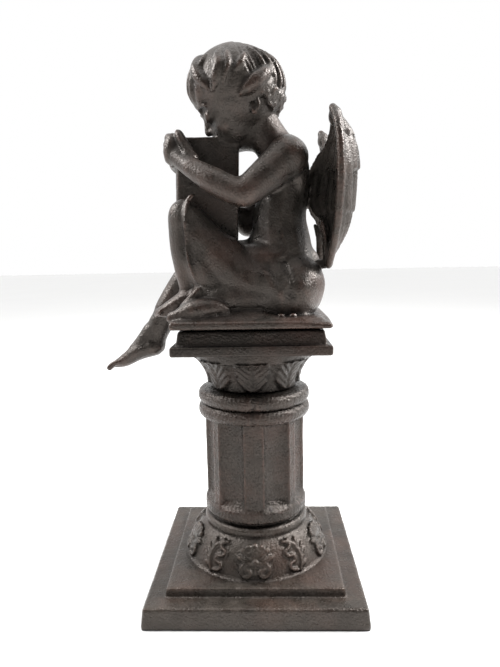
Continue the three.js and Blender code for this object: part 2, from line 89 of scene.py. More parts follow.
world = bpy.data.worlds.new("studio_air")
bpy.context.scene.world = world
world.use_nodes = True
nodes = world.node_tree.nodes
links = world.node_tree.links
direction = nodes.new("ShaderNodeTexCoord")
split = nodes.new("ShaderNodeSeparateXYZ")
links.new(direction.outputs["Generated"], split.inputs["Vector"])
depth = nodes.new("ShaderNodeMapRange")
depth.inputs["From Min"].default_value = WALL_FADE_FROM
depth.inputs["From Max"].default_value = WALL_FADE_TO
depth.inputs["To Min"].default_value = WALL_FRONT
depth.inputs["To Max"].default_value = WALL_BACK
links.new(split.outputs["Y"], depth.inputs["Value"])
seen = nodes.new("ShaderNodeLightPath")
shown = nodes.new("ShaderNodeMix")
shown.inputs["B"].default_value = WALL_SEEN
links.new(seen.outputs["Is Camera Ray"], shown.inputs["Factor"])
links.new(depth.outputs["Result"], shown.inputs["A"])
links.new(shown.outputs["Result"], nodes["Background"].inputs["Strength"])
nodes["Background"].inputs["Color"].default_value = WALL_COLOUR


def soft_light(name, place, watts):
    """A square soft light that faces the middle of the statue."""
    bpy.ops.object.light_add(type="AREA", location=place)
    light = bpy.context.object
    light.name = name
    light.data.size = LIGHT_SIDE
    light.data.energy = watts
    light.rotation_euler = (Vector(LIGHT_AIM) - Vector(place)).to_track_quat("-Z", "Y").to_euler()


soft_light("left_light", LEFT_LIGHT_PLACE, LEFT_LIGHT_WATTS)
soft_light("right_light", RIGHT_LIGHT_PLACE, RIGHT_LIGHT_WATTS)
bpy.ops.object.light_add(type="SUN", location=CEILING_PLACE)
ceiling = bpy.context.object
ceiling.name = "ceiling_light"
ceiling.data.angle = CEILING_SPREAD
ceiling.data.energy = CEILING_STRENGTH

bpy.ops.object.camera_add(location=CAMERA_PLACE)
camera = bpy.context.object
camera.name = "photo_camera"
aim = Matrix.Rotation(CAMERA_TURN, 4, "Z") @ Matrix.Rotation(math.pi / 2 - CAMERA_DOWN, 4, "X")
camera.matrix_world = Matrix.Translation(CAMERA_PLACE) @ aim @ Matrix.Rotation(CAMERA_ROLL, 4, "Z")
camera.data.sensor_width = CAMERA_SENSOR
camera.data.lens = CAMERA_LENS
camera.data.clip_start = CAMERA_NEAREST
bpy.context.scene.camera = camera
bpy.context.scene.view_settings.view_transform = "Standard"

# Base: a square plinth with a smaller step and a bell on it, sand-cast in one piece of grey iron.
# Rosettes and leaf sprays stand on the bell in low relief, and its edges are soft from the mould and wear.
# All pieces are modelled in millimetres and brought to their real size at the end.
PLINTH_SIDE = 122.6
PLINTH_TOP_SIDE = 120.0
PLINTH_TOP = 11.8
STEP_SIDE = 99.4
STEP_TOP = 16.5
BELL_FOOT_RADIUS = 42.2
BELL_FOOT_TOP = 17.9
BELL_NECK_RADIUS = 28.6
BELL_COLLAR_RADIUS = 30.6
BELL_COLLAR_LOW = 35.0
BELL_TOP = 43.2
BELL_DOME_SHARE = 0.55
BELL_DOME_DROP = 0.96
BELL_SLOPE_SHARE = 0.45
BELL_SLOPE_DROP = 0.8
BELL_FACETS = 96
PLINTH_ROUND = 1.5
STEP_ROUND = 1.2
OVERLAP = 2
MOTIF_PAIRS = 5
BASE_VOXEL = 0.6
BASE_TRIANGLES = 190000
SMOOTH_PULL = 0.5
BASE_SKIN_SIZE = 1.4
BASE_SKIN_DEPTH = 0.2
FLAT_UNDER = 0.6
EDGE_RANGE = 1.6
METRES = 0.001
BASE_IRON = (0.0275, 0.0229, 0.0188)
BASE_RUST = (0.06, 0.036, 0.0275)
BASE_GLOSS = 0.31
BASE_SHINE = 0.52
BASE_GRAIN = 0.55
IRON_TINT = (1.0, 0.88, 0.8, 1)
BLOTCH_SCALE = 95
RUST_SCALE = 34
WEAR_SCALE = 210
SPECKLE_SCALE = 1300
GLOSS_SCALE = 190
PIT_SCALE = 640
GRAIN_SCALE = 880
GRAIN_HEIGHT = 0.001
# Reaches of the painted shade in metres: sheltered places under and between parts, and narrow crevices
PAINTED_SHADE_REACH = 0.035
PAINTED_CREVICE_SHADE_REACH = 0.006


def pick(piece):
    """Makes one piece the only selected one."""
    bpy.ops.object.select_all(action="DESELECT")
    piece.select_set(True)
    bpy.context.view_layer.objects.active = piece


def start_edit(piece):
    """Opens one piece for editing, all of it selected."""
    pick(piece)
    bpy.ops.object.mode_set(mode="EDIT")
    bpy.ops.mesh.select_all(action="SELECT")


def close_up(piece):
    """Merges doubled points and turns all faces outwards."""
    start_edit(piece)
    bpy.ops.mesh.remove_doubles(threshold=0.001)
    bpy.ops.mesh.normals_make_consistent(inside=False)
    bpy.ops.object.mode_set(mode="OBJECT")


def apply_modifier(piece, kind, **settings):
    """Adds one modifier with its settings and applies it."""
    pick(piece)
    modifier = piece.modifiers.new(kind.lower(), kind)
    for name, value in settings.items():
        setattr(modifier, name, value)
    bpy.ops.object.modifier_apply(modifier=modifier.name)


def join(lumps, name):
    """Joins lumps into one object with its place in its mesh."""
    bpy.ops.object.select_all(action="DESELECT")
    for lump in lumps:
        lump.select_set(True)
    bpy.context.view_layer.objects.active = lumps[0]
    if len(lumps) > 1:
        bpy.ops.object.join()
    bpy.ops.object.transform_apply(location=True, rotation=True, scale=True)
    whole = bpy.context.object
    whole.name = name
    whole.data.name = name
    return whole


def square_block(side_low, side_top, low, top, edge):
    """A square block with draft and rounded edges, set square to the axes."""
    bpy.ops.mesh.primitive_cone_add(
        vertices=4,
        radius1=side_low / math.sqrt(2),
        radius2=side_top / math.sqrt(2),
        depth=top - low,
        location=(0, 0, (low + top) / 2),
        rotation=(0, 0, math.pi / 4),
    )
    block = join([bpy.context.object], "block")
    apply_modifier(block, "BEVEL", width=edge, segments=3)
    return block


def turned(profile, steps):
    """A turned solid: a line of points is drawn along [radius, height] pairs and spun about the axis."""
    bpy.ops.mesh.primitive_plane_add(size=1, location=(0, 0, 0))
    solid = bpy.context.object
    start_edit(solid)
    bpy.ops.mesh.merge(type="CENTER")
    bpy.ops.transform.translate(value=(profile[0][0], 0, profile[0][1]))
    for (radius, height), (next_radius, next_height) in zip(profile, profile[1:]):
        move = (next_radius - radius, 0, next_height - height)
        bpy.ops.mesh.extrude_region_move(TRANSFORM_OT_translate={"value": move})
    bpy.ops.mesh.select_all(action="SELECT")
    bpy.ops.mesh.spin(steps=steps, angle=2 * math.pi, center=(0, 0, 0), axis=(0, 0, 1))
    bpy.ops.object.mode_set(mode="OBJECT")
    close_up(solid)
    return solid


def ball(centre, radii, turn=(0, 0, 0), segments=24):
    """A ball stretched to three radii and turned about its own axes."""
    bpy.ops.mesh.primitive_uv_sphere_add(
        segments=segments,
        ring_count=segments * 2 // 3,
        radius=1,
        location=centre,
        rotation=turn,
        scale=radii,
    )
    return bpy.context.object


def limb(run, wide=1.0, fine=5):
    """A round-ended bar along a smooth curve through [x, y, z, radius] places, widened along Y."""
    first, last = Vector(run[0][:3]), Vector(run[-1][:3])
    out_first = (first - Vector(run[1][:3])).normalized()
    out_last = (last - Vector(run[-2][:3])).normalized()
    cap = ((0.98, 0.2), (0.9, 0.44), (0.66, 0.75))
    start = [[*(first + out_first * run[0][3] * far), run[0][3] * thick] for far, thick in cap]
    end = [[*(last + out_last * run[-1][3] * far), run[-1][3] * thick] for far, thick in reversed(cap)]
    places = [*start, *run, *end]
    bpy.ops.curve.primitive_bezier_curve_add(location=(0, 0, 0))
    bar = bpy.context.object
    spline = bar.data.splines[0]
    spline.bezier_points.add(len(places) - 2)
    for point, (x, y, z, radius) in zip(spline.bezier_points, places):
        point.co = (x, y, z)
        point.radius = radius
        point.handle_left_type = "AUTO"
        point.handle_right_type = "AUTO"
    bar.data.dimensions = "3D"
    bar.data.resolution_u = 6
    bar.data.bevel_depth = 1.0
    bar.data.bevel_resolution = fine
    bar.data.use_fill_caps = True
    bpy.ops.object.convert(target="MESH")
    bar = bpy.context.object
    if wide != 1.0:
        middle = sum(place[1] for place in run) / len(run)
        start_edit(bar)
        bpy.ops.transform.resize(value=(1, wide, 1), center_override=(0, middle, 0))
        bpy.ops.object.mode_set(mode="OBJECT")
    return bar


def points_of(piece, what="co"):
    """The places of a piece's points as an array, or with "normal" their outward directions."""
    flat = np.empty(len(piece.data.vertices) * 3)
    piece.data.vertices.foreach_get(what, flat)
    return flat.reshape(-1, 3)


def set_points(piece, places):
    """Moves a piece's points to new places."""
    piece.data.vertices.foreach_set("co", np.ascontiguousarray(places).reshape(-1))
    piece.data.update()


def fuse(piece, voxel, rounds):
    """Fuses the lumps of a piece into one closed skin and smooths it in a number of rounds."""
    apply_modifier(piece, "REMESH", mode="VOXEL", voxel_size=voxel)
    apply_modifier(piece, "SMOOTH", factor=SMOOTH_PULL, iterations=rounds)


def cast_skin(piece, name, size, depth):
    """Presses the mould's sand into the surface: broad waves first, then finer lumps."""
    for part, scale, strength in (("waves", 9 * size, 1.5 * depth), ("grain", size, depth)):
        texture = bpy.data.textures.new(name + "_" + part, "CLOUDS")
        texture.noise_scale = scale
        texture.noise_depth = 2
        apply_modifier(
            piece, "DISPLACE", texture=texture, strength=strength, mid_level=0.5, texture_coords="LOCAL"
        )


def edge_map(piece):
    """Stores how far each point stands out of its surroundings, for wear on ridges and darkening in
    hollows.
    """
    mesh = piece.data
    places = points_of(piece)
    total = len(places)
    ends = np.empty(len(mesh.edges) * 2, dtype=np.int64)
    mesh.edges.foreach_get("vertices", ends)
    a, b = ends.reshape(-1, 2).T
    count = np.maximum(np.bincount(a, minlength=total) + np.bincount(b, minlength=total), 1)

    def spread(values):
        return (np.bincount(a, values[b], total) + np.bincount(b, values[a], total)) / count

    wide = places.copy()
    for _ in range(8):
        wide = np.stack([spread(wide[:, axis]) for axis in range(3)], axis=1)
    stand = np.einsum("ij,ij->i", places - wide, points_of(piece, "normal"))
    for _ in range(2):
        stand = 0.5 * stand + 0.5 * spread(stand)
    layer = mesh.attributes.new("stand", "FLOAT", "POINT")
    layer.data.foreach_set("value", np.clip(0.5 + stand / EDGE_RANGE, 0, 1).astype(np.float32))


def finish_casting(piece, iron):
    """Maps a piece's wear, brings it from millimetres to its real size and gives it its iron."""
    edge_map(piece)
    pick(piece)
    piece.scale = (METRES, METRES, METRES)
    bpy.ops.object.transform_apply(location=True, rotation=True, scale=True)
    bpy.ops.object.shade_smooth()
    piece.data.materials.append(iron)


def cast_iron(name, body, rust, gloss, shine, grain):
    """Weathered cast iron: grey-black with rusty blotches, darker in hollows, with painted shade in
    sheltered places and crevices, and polished on worn ridges.
    """
    iron = bpy.data.materials.new(name)
    iron.use_nodes = True
    nodes = iron.node_tree.nodes
    links = iron.node_tree.links
    shader = nodes["Principled BSDF"]
    shader.inputs["Specular IOR Level"].default_value = shine
    shader.inputs["Specular Tint"].default_value = IRON_TINT
    place = nodes.new("ShaderNodeTexCoord")

    def noise(scale, detail):
        texture = nodes.new("ShaderNodeTexNoise")
        texture.inputs["Scale"].default_value = scale
        texture.inputs["Detail"].default_value = detail
        links.new(place.outputs["Object"], texture.inputs["Vector"])
        return texture.outputs["Fac"]

    def ramp(source, stops):
        node = nodes.new("ShaderNodeValToRGB")
        links.new(source, node.inputs["Fac"])
        for element, (position, colour) in zip(node.color_ramp.elements, stops):
            element.position = position
            element.color = (*colour, 1) if isinstance(colour, tuple) else (colour, colour, colour, 1)
        return node.outputs["Color"]

    def mix(kind, factor, first, second):
        node = nodes.new("ShaderNodeMix")
        node.data_type = "RGBA"
        node.blend_type = kind
        for socket, source in ((0, factor), (6, first), (7, second)):
            if isinstance(source, bpy.types.NodeSocket):
                links.new(source, node.inputs[socket])
            elif socket == 0:
                node.inputs[socket].default_value = source
            else:
                node.inputs[socket].default_value = (*source, 1)
        return node.outputs[2]

    def toned(colour, share):
        return tuple(share * part for part in colour)

    # Ambient occlusion tells how open a spot is to the surrounding light; it drives the painted shade
    def occlusion_for_painted_shade(distance):
        air = nodes.new("ShaderNodeAmbientOcclusion")
        air.samples = 6
        air.inputs["Distance"].default_value = distance
        return air.outputs["AO"]

    stand = nodes.new("ShaderNodeAttribute")
    stand.attribute_name = "stand"
    worn = ramp(stand.outputs["Fac"], ((0.6, 0.0), (0.82, 1.0)))
    # Points that lie deeper than their surroundings are darkened
    hollow_darkening = ramp(stand.outputs["Fac"], ((0.2, 1.0), (0.46, 0.0)))
    blotch = ramp(noise(BLOTCH_SCALE, 5), ((0.34, toned(body, 0.6)), (0.68, toned(body, 1.42))))
    faces = mix("MIX", ramp(noise(RUST_SCALE, 6), ((0.47, 0.0), (0.68, 0.65))), blotch, rust)
    patches = mix("MULTIPLY", 1.0, worn, ramp(noise(WEAR_SCALE, 3), ((0.36, 0.0), (0.62, 0.7))))
    edged = mix("MIX", patches, faces, toned(rust, 1.15))
    speckled = mix("MULTIPLY", 1.0, edged, ramp(noise(SPECKLE_SCALE, 2), ((0.3, 0.64), (0.7, 1.36))))

    # A near-black of the body colour, used for the painted shade in crevices and for the darkening in
    # hollows
    shade_and_hollow_dark = toned(body, 0.3)
    # Painted shade: spots that nearby parts shelter from the light are darkened towards a dull green-grey
    painted_shade_colour = (0.5 * body[0], 0.58 * body[1], 0.6 * body[2])
    with_painted_shade = mix("MIX", ramp(occlusion_for_painted_shade(PAINTED_SHADE_REACH), ((0.3, 0.8), (0.78, 0.0))), speckled, painted_shade_colour)
    # Painted shade: narrow crevices found by ambient occlusion are darkened almost to black
    shaded = mix("MIX", ramp(occlusion_for_painted_shade(PAINTED_CREVICE_SHADE_REACH), ((0.25, 0.85), (0.8, 0.0))), with_painted_shade, shade_and_hollow_dark)
    coloured = mix("MIX", hollow_darkening, shaded, shade_and_hollow_dark)
    links.new(coloured, shader.inputs["Base Color"])
    rough = ramp(noise(GLOSS_SCALE, 6), ((0.34, gloss - 0.1), (0.66, gloss + 0.16)))
    links.new(mix("MIX", worn, rough, (gloss - 0.08,) * 3), shader.inputs["Roughness"])

    pits = nodes.new("ShaderNodeTexVoronoi")
    pits.inputs["Scale"].default_value = PIT_SCALE
    links.new(place.outputs["Object"], pits.inputs["Vector"])
    pit_depth = ramp(pits.outputs["Distance"], ((0.0, 0.2), (0.32, 1.0)))
    bump = nodes.new("ShaderNodeBump")
    bump.inputs["Strength"].default_value = grain
    bump.inputs["Distance"].default_value = GRAIN_HEIGHT
    links.new(mix("MULTIPLY", 0.5, noise(GRAIN_SCALE, 5), pit_depth), bump.inputs["Height"])
    links.new(bump.outputs["Normal"], shader.inputs["Normal"])
    return iron


def bell_radius(height):
    """The radius of the bell's wall at a height: partly a dome and partly a straight slope."""
    part = np.clip((np.asarray(height, float) - BELL_FOOT_TOP) / (BELL_COLLAR_LOW - BELL_FOOT_TOP), 0, 1)
    dome = BELL_DOME_SHARE * np.sqrt(1 - BELL_DOME_DROP * part**2)
    bulge = dome + BELL_SLOPE_SHARE * (1 - BELL_SLOPE_DROP * part)
    return BELL_NECK_RADIUS + (BELL_FOOT_RADIUS - BELL_NECK_RADIUS) * bulge


def lay_on_bell(relief, angle):
    """Wraps a flat relief around the bell: X goes sideways, Z up along the wall and -Y outwards."""
    x, y, rise = points_of(relief).T
    heights = np.linspace(BELL_FOOT_TOP, BELL_COLLAR_LOW, 200)
    radii = bell_radius(heights)
    along = np.concatenate([[0], np.cumsum(np.hypot(np.diff(heights), np.diff(radii)))])
    slope = np.arctan2(-np.gradient(radii, heights), 1)
    lean = np.interp(rise, along, slope)
    radius = np.interp(rise, along, radii)
    height = np.interp(rise, along, heights) + np.minimum(rise, 0)
    turn = angle + x / radius
    radius = radius - y * np.cos(lean)
    wrapped = [radius * np.sin(turn), -radius * np.cos(turn), height - y * np.sin(lean)]
    set_points(relief, np.stack(wrapped, axis=1))
    return relief


def rosette():
    """A fan of petals above two curled lobes, with a leaf to each side."""
    ground = ball((0, 0, 9), (8.6, 0.9, 8.4), segments=20)
    heart = ball((0, -1.4, 8.6), (1.5, 1.2, 1.5), segments=14)
    lumps = [ground, heart]
    for k in range(-2, 3):
        lean = k * 0.42
        side, up = math.sin(lean), math.cos(lean)
        lumps.append(ball((5.6 * side, -0.9, 9 + 5.0 * up), (1.5, 1.3, 4.2), (0, lean, 0), 16))
        lumps.append(ball((8.4 * side, -1.2, 9 + 7.8 * up), (1.8, 1.2, 1.6), (0, lean, 0), 14))
    for hand in (-1, 1):
        lumps.append(ball((hand * 6.4, -0.8, 9.6), (1.7, 1.3, 4.4), (0, hand * 1.25, 0), 16))
        curl = ((1.2, 7.2), (4.6, 7.4), (7.8, 5.2), (7.0, 1.8), (3.8, 1.2), (2.8, 3.6), (5.0, 4.6))
        lumps.append(limb([[hand * x, -1.0, z, 1.15] for x, z in curl], fine=3))
        lumps.append(ball((hand * 5.0, -0.2, 4.2), (3.4, 1.0, 3.2), segments=16))
    lumps.append(ball((0, -0.5, 3.4), (0.9, 1.0, 3.4), segments=14))
    return join(lumps, "rosette")


def spray(hand):
    """A leaf spray: pointed lobes on one side of a stem and an S-shaped scroll on the other."""
    lumps = [ball((hand * -0.6, 0, 9.4), (5.2, 0.7, 8.6), segments=20)]
    scroll = (
        (5.8, 17.4), (2.8, 16.0), (3.0, 13.8), (6.0, 12.2), (5.2, 9.8),
        (1.8, 8.8), (1.6, 6.6), (5.0, 5.2), (5.0, 2.6), (1.8, 1.4),
    )
    lumps.append(limb([[hand * x, -1.0, z, 0.95] for x, z in scroll], fine=3))
    stem = ((-0.6, 0.8), (-2.4, 5.0), (-2.2, 10.0), (-0.2, 14.4), (2.4, 18.0))
    lumps.append(limb([[hand * x, -0.8, z, 1.0] for x, z in stem], fine=3))
    lobes = ((-4.6, 3.4, 1.1, 2.8), (-5.4, 7.4, 0.85, 3.2), (-4.6, 11.6, 0.6, 3.3), (-2.2, 15.6, 0.25, 3.0))
    for x, z, lean, long in lobes:
        lumps.append(ball((hand * x, -0.7, z), (1.15, 1.2, long), (0, -hand * lean, 0), 14))
    return join(lumps, "spray")


base_lumps = [
    square_block(PLINTH_SIDE, PLINTH_TOP_SIDE, 0, PLINTH_TOP, PLINTH_ROUND),
    square_block(STEP_SIDE, STEP_SIDE - 1.4, PLINTH_TOP - OVERLAP, STEP_TOP, STEP_ROUND),
]
dome = [(float(bell_radius(z)), float(z)) for z in np.linspace(BELL_FOOT_TOP, BELL_COLLAR_LOW, 14)]
bell_profile = [
    (0, STEP_TOP - OVERLAP),
    (BELL_FOOT_RADIUS + 0.9, STEP_TOP - OVERLAP),
    (BELL_FOOT_RADIUS + 0.9, STEP_TOP + 0.5),
    (BELL_FOOT_RADIUS + 0.3, STEP_TOP + 1.2),
    *dome,
    (BELL_COLLAR_RADIUS - 0.3, BELL_COLLAR_LOW + 0.5),
    (BELL_COLLAR_RADIUS + 0.7, BELL_COLLAR_LOW + 1.6),
    (BELL_COLLAR_RADIUS + 1.0, BELL_COLLAR_LOW + 3.2),
    (BELL_COLLAR_RADIUS + 0.7, BELL_COLLAR_LOW + 4.8),
    (BELL_COLLAR_RADIUS - 0.5, BELL_COLLAR_LOW + 5.9),
    (BELL_NECK_RADIUS - 1.0, BELL_COLLAR_LOW + 6.4),
    (BELL_NECK_RADIUS - 1.0, BELL_TOP),
    (0, BELL_TOP),
]
base_lumps.append(turned(bell_profile, BELL_FACETS))
for k in range(MOTIF_PAIRS):
    hand = -1 if k < MOTIF_PAIRS / 2 else 1
    base_lumps.append(lay_on_bell(rosette(), k * 2 * math.pi / MOTIF_PAIRS))
    base_lumps.append(lay_on_bell(spray(hand), (k + 0.5) * 2 * math.pi / MOTIF_PAIRS))
base = join(base_lumps, "base_casting")
fuse(base, BASE_VOXEL, 2)
cast_skin(base, "base_skin", BASE_SKIN_SIZE, BASE_SKIN_DEPTH)
places = points_of(base)
places[:, 2] = np.where(places[:, 2] < FLAT_UNDER, 0, places[:, 2])
set_points(base, places)


def thin_out(piece, most):
    """Thins a mesh out to a number of triangles, first where it is flat."""
    triangles = sum(len(face.vertices) - 2 for face in piece.data.polygons)
    if triangles > most:
        apply_modifier(piece, "DECIMATE", ratio=most / triangles)


thin_out(base, BASE_TRIANGLES)
base_iron = cast_iron("base_iron", BASE_IRON, BASE_RUST, BASE_GLOSS, BASE_SHINE, BASE_GRAIN)
finish_casting(base, base_iron)
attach(base, "root")
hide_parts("base")

# Column: a hollow fluted shaft of grey iron, cast in a two-part mould that left a seam at front and back.
# It stands on the bell's collar, and a foot ring and two round neck rings are cast with it.
COLUMN_LOW = 43.5
COLUMN_TOP = 119.3
FOOT_RING_RADIUS = 30.9
FOOT_RING_TOP = 49.6
SHAFT_RADIUS = 29.6
FLUTE_TURNS = (27, 69, 111, 153)
FLUTE_HALF_WIDTH = 8.2
FLUTE_DEPTH = 4.0
SILL_LOW = 49.8
SILL_TOP = 55.2
NECK_RING_RADIUS = 33.5
NECK_RING_LOW = 102.0
NECK_RING_HEIGHT = 8.4
COLUMN_LEDGE_RADIUS = 27.8
RING_ARC = 0.46 * math.pi
RING_BULGE = 3.1
SEAM_HALF_WIDTH = 0.7
SEAM_HEIGHT = 0.3
NOTCH_HALF_WIDTH = 1.5
NOTCH_DEPTH = 1.3
LIP_HALF_WIDTH = 0.7
LIP_HEIGHT = 0.3
LUMP_HEIGHT = 0.2
COLUMN_STEP = 0.62
COLUMN_SKIN_SIZE = 1.3
COLUMN_SKIN_DEPTH = 0.24
COLUMN_IRON = (0.02, 0.0162, 0.0134)
COLUMN_RUST = (0.06, 0.03, 0.0225)
COLUMN_GLOSS = 0.23
COLUMN_SHINE = 0.52
COLUMN_GRAIN = 0.7


def dense(profile, spacing):
    """The same profile with points added so that none lie further apart than the spacing."""
    fine = [profile[0]]
    for (radius, height), (next_radius, next_height) in zip(profile, profile[1:]):
        across = next_radius - radius
        up = next_height - height
        cuts = max(1, math.ceil(math.dist((radius, height), (next_radius, next_height)) / spacing))
        for k in range(1, cuts + 1):
            fine.append((radius + across * k / cuts, height + up * k / cuts))
    return fine


def polar_of(places):
    """Radius and angle of points about the column's axis; angle 0 faces the camera."""
    return np.hypot(places[:, 0], places[:, 1]), np.arctan2(places[:, 0], -places[:, 1])


def set_radius(piece, places, radius, angle):
    """Puts points back at a new distance from the axis."""
    set_points(piece, np.stack([radius * np.sin(angle), -radius * np.cos(angle), places[:, 2]], axis=1))


ring_profile = []
for k in range(2):
    middle = NECK_RING_LOW + (k + 0.5) * NECK_RING_HEIGHT
    for step in range(-6, 7):
        swing = step / 6 * RING_ARC
        bulge = RING_BULGE * (math.cos(swing) - 1)
        ring_profile.append((NECK_RING_RADIUS + bulge, middle + 0.5 * NECK_RING_HEIGHT * math.sin(swing)))
column_profile = [
    (0, COLUMN_LOW),
    (FOOT_RING_RADIUS - 1.0, COLUMN_LOW),
    (FOOT_RING_RADIUS, COLUMN_LOW + 1.0),
    (FOOT_RING_RADIUS, FOOT_RING_TOP),
    (SHAFT_RADIUS, FOOT_RING_TOP + 2.6),
    (SHAFT_RADIUS, NECK_RING_LOW),
    *ring_profile,
    (COLUMN_LEDGE_RADIUS + 1.2, COLUMN_TOP - 0.2),
    (COLUMN_LEDGE_RADIUS, COLUMN_TOP),
    (0, COLUMN_TOP),
]
column_facets = round(2 * math.pi * SHAFT_RADIUS / COLUMN_STEP)
column = join([turned(dense(column_profile, COLUMN_STEP), column_facets)], "column_casting")
places = points_of(column)
radius, angle = polar_of(places)
height = places[:, 2]
across = SHAFT_RADIUS * np.min([np.abs(np.abs(angle) - math.radians(turn)) for turn in FLUTE_TURNS], axis=0)
hollow = np.sqrt(np.clip(1 - (across / FLUTE_HALF_WIDTH) ** 2, 0, 1))
sill = np.clip((height - SILL_LOW) / (SILL_TOP - SILL_LOW), 0, 1)
under_rings = np.clip((NECK_RING_LOW + 0.3 - height) / 0.8, 0, 1)
on_wall = radius > COLUMN_LEDGE_RADIUS
radius -= np.where(on_wall, FLUTE_DEPTH * hollow * sill * under_rings, 0)
lip = np.exp(-(((across - FLUTE_HALF_WIDTH) / LIP_HALF_WIDTH) ** 2)) * sill * under_rings
radius += np.where(on_wall, LIP_HEIGHT * lip, 0)
in_rings = (height > NECK_RING_LOW) & (height < COLUMN_TOP - 1)
offset = np.sin(angle) * NECK_RING_RADIUS
seam = np.exp(-((offset / SEAM_HALF_WIDTH) ** 2))
notch = np.exp(-((offset / NOTCH_HALF_WIDTH) ** 2))
radius += np.where(on_wall, np.where(in_rings, -NOTCH_DEPTH * notch, SEAM_HEIGHT * seam), 0)
on_sill = (height > SILL_LOW - 5) & (height < SILL_TOP)
coarse_lumps = np.sin(47 * angle + 1.7 * height) * np.sin(2.3 * height - 31 * angle)
fine_lumps = 0.6 * np.sin(83 * angle - 2.9 * height)
radius += np.where(on_wall & (in_rings | on_sill), LUMP_HEIGHT * (coarse_lumps + fine_lumps), 0)
set_radius(column, places, radius, angle)
apply_modifier(column, "SMOOTH", factor=SMOOTH_PULL, iterations=1)
cast_skin(column, "column_skin", COLUMN_SKIN_SIZE, COLUMN_SKIN_DEPTH)
column_iron = cast_iron("column_iron", COLUMN_IRON, COLUMN_RUST, COLUMN_GLOSS, COLUMN_SHINE, COLUMN_GRAIN)
finish_casting(column, column_iron)
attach(column, "root")
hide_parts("column")

# Capital: a flared bell with eight leaves, a square abacus and a block on it, one casting of grey iron.
# It stands on the ledge inside the column's neck rings, and the angel's slab lies on its pad.
CAPITAL_LOW = 119.6
CAPITAL_FOOT_RADIUS = 25.4
FLARE_RADIUS = 33.0
FLARE_TOP = 136.8
RIM_LOW_RADIUS = 34.4
RIM_TOP_RADIUS = 35.3
RIM_TOP = 144.0
LEAVES = 8
LEAF_HALF_WIDTH = 10.6
LEAF_LOW = 120.6
LEAF_TOP = 137.4
LEAF_RELIEF = 2.1
ABACUS_SIDE = 86.4
ABACUS_LOW = 143.8
ABACUS_TOP = 149.3
BLOCK_LOW_SIDE = 80.8
BLOCK_TOP_SIDE = 78.0
BLOCK_TOP = 157.0
PAD_SIDE = 72.0
PAD_TOP = 157.9
ABACUS_ROUND = 1.1
BLOCK_ROUND = 0.8
PAD_ROUND = 0.4
FLARE_CURVE = 2.2
SCALLOP = 0.9
VEIN_PITCH = 3.4
VEIN_DEPTH = 0.38
MIDRIB_HALF_WIDTH = 0.75
MIDRIB_DEPTH = 0.9
CAPITAL_VOXEL = 0.56
CAPITAL_SKIN_SIZE = 1.6
CAPITAL_SKIN_DEPTH = 0.14
CAPITAL_IRON = (0.0166, 0.0142, 0.0122)
CAPITAL_RUST = (0.05, 0.027, 0.021)
CAPITAL_GLOSS = 0.33
CAPITAL_SHINE = 0.42
CAPITAL_GRAIN = 0.5

flare = []
for part in np.linspace(0, 1, 14):
    radius = CAPITAL_FOOT_RADIUS + (FLARE_RADIUS - CAPITAL_FOOT_RADIUS) * part**FLARE_CURVE
    flare.append((radius, CAPITAL_LOW + (FLARE_TOP - CAPITAL_LOW) * part))
capital_profile = [
    (0, CAPITAL_LOW),
    *flare,
    (RIM_LOW_RADIUS, FLARE_TOP + 0.6),
    (RIM_LOW_RADIUS + 0.3, FLARE_TOP + 2.4),
    (RIM_TOP_RADIUS, RIM_TOP),
    (0, RIM_TOP),
]
leaf_bell = turned(dense(capital_profile, 0.5), 320)
places = points_of(leaf_bell)
radius, angle = polar_of(places)
pitch = 2 * math.pi / LEAVES
across = np.maximum(radius, CAPITAL_FOOT_RADIUS) * ((angle + 4.5 * pitch) % pitch - pitch / 2)
up = np.clip((places[:, 2] - LEAF_LOW) / (LEAF_TOP - LEAF_LOW), 0, 1)
scallop = SCALLOP * np.abs(np.sin(4 * math.pi * up**0.9))
half_width = (LEAF_HALF_WIDTH - SCALLOP) * np.sqrt(1 - (1 - up) ** 2.2) + scallop * (up > 0.04)
inside = np.clip((half_width - np.abs(across)) / 1.1, 0, 1)
camber = 1 - 0.45 * (across / LEAF_HALF_WIDTH) ** 2
veins = np.cos(2 * math.pi * (up * (LEAF_TOP - LEAF_LOW) - 0.9 * np.abs(across)) / VEIN_PITCH)
midrib = np.exp(-((across / MIDRIB_HALF_WIDTH) ** 2))
blade = LEAF_RELIEF * camber * (1.15 - 0.35 * up)
leaf = inside * (blade + VEIN_DEPTH * veins * (1 - midrib) - MIDRIB_DEPTH * midrib)
on_wall = (radius > CAPITAL_FOOT_RADIUS - 0.5) & (places[:, 2] > LEAF_LOW) & (places[:, 2] < LEAF_TOP)
set_radius(leaf_bell, places, radius + np.where(on_wall, leaf, 0), angle)
capital = join([
    leaf_bell,
    square_block(ABACUS_SIDE, ABACUS_SIDE, ABACUS_LOW, ABACUS_TOP, ABACUS_ROUND),
    square_block(BLOCK_LOW_SIDE, BLOCK_TOP_SIDE, ABACUS_TOP - 1, BLOCK_TOP, BLOCK_ROUND),
    square_block(PAD_SIDE, PAD_SIDE, BLOCK_TOP - 1, PAD_TOP, PAD_ROUND),
], "capital_casting")
fuse(capital, CAPITAL_VOXEL, 2)
cast_skin(capital, "capital_skin", CAPITAL_SKIN_SIZE, CAPITAL_SKIN_DEPTH)
capital_iron = cast_iron(
    "capital_iron", CAPITAL_IRON, CAPITAL_RUST, CAPITAL_GLOSS, CAPITAL_SHINE, CAPITAL_GRAIN
)
finish_casting(capital, capital_iron)
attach(capital, "root")
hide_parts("capital")

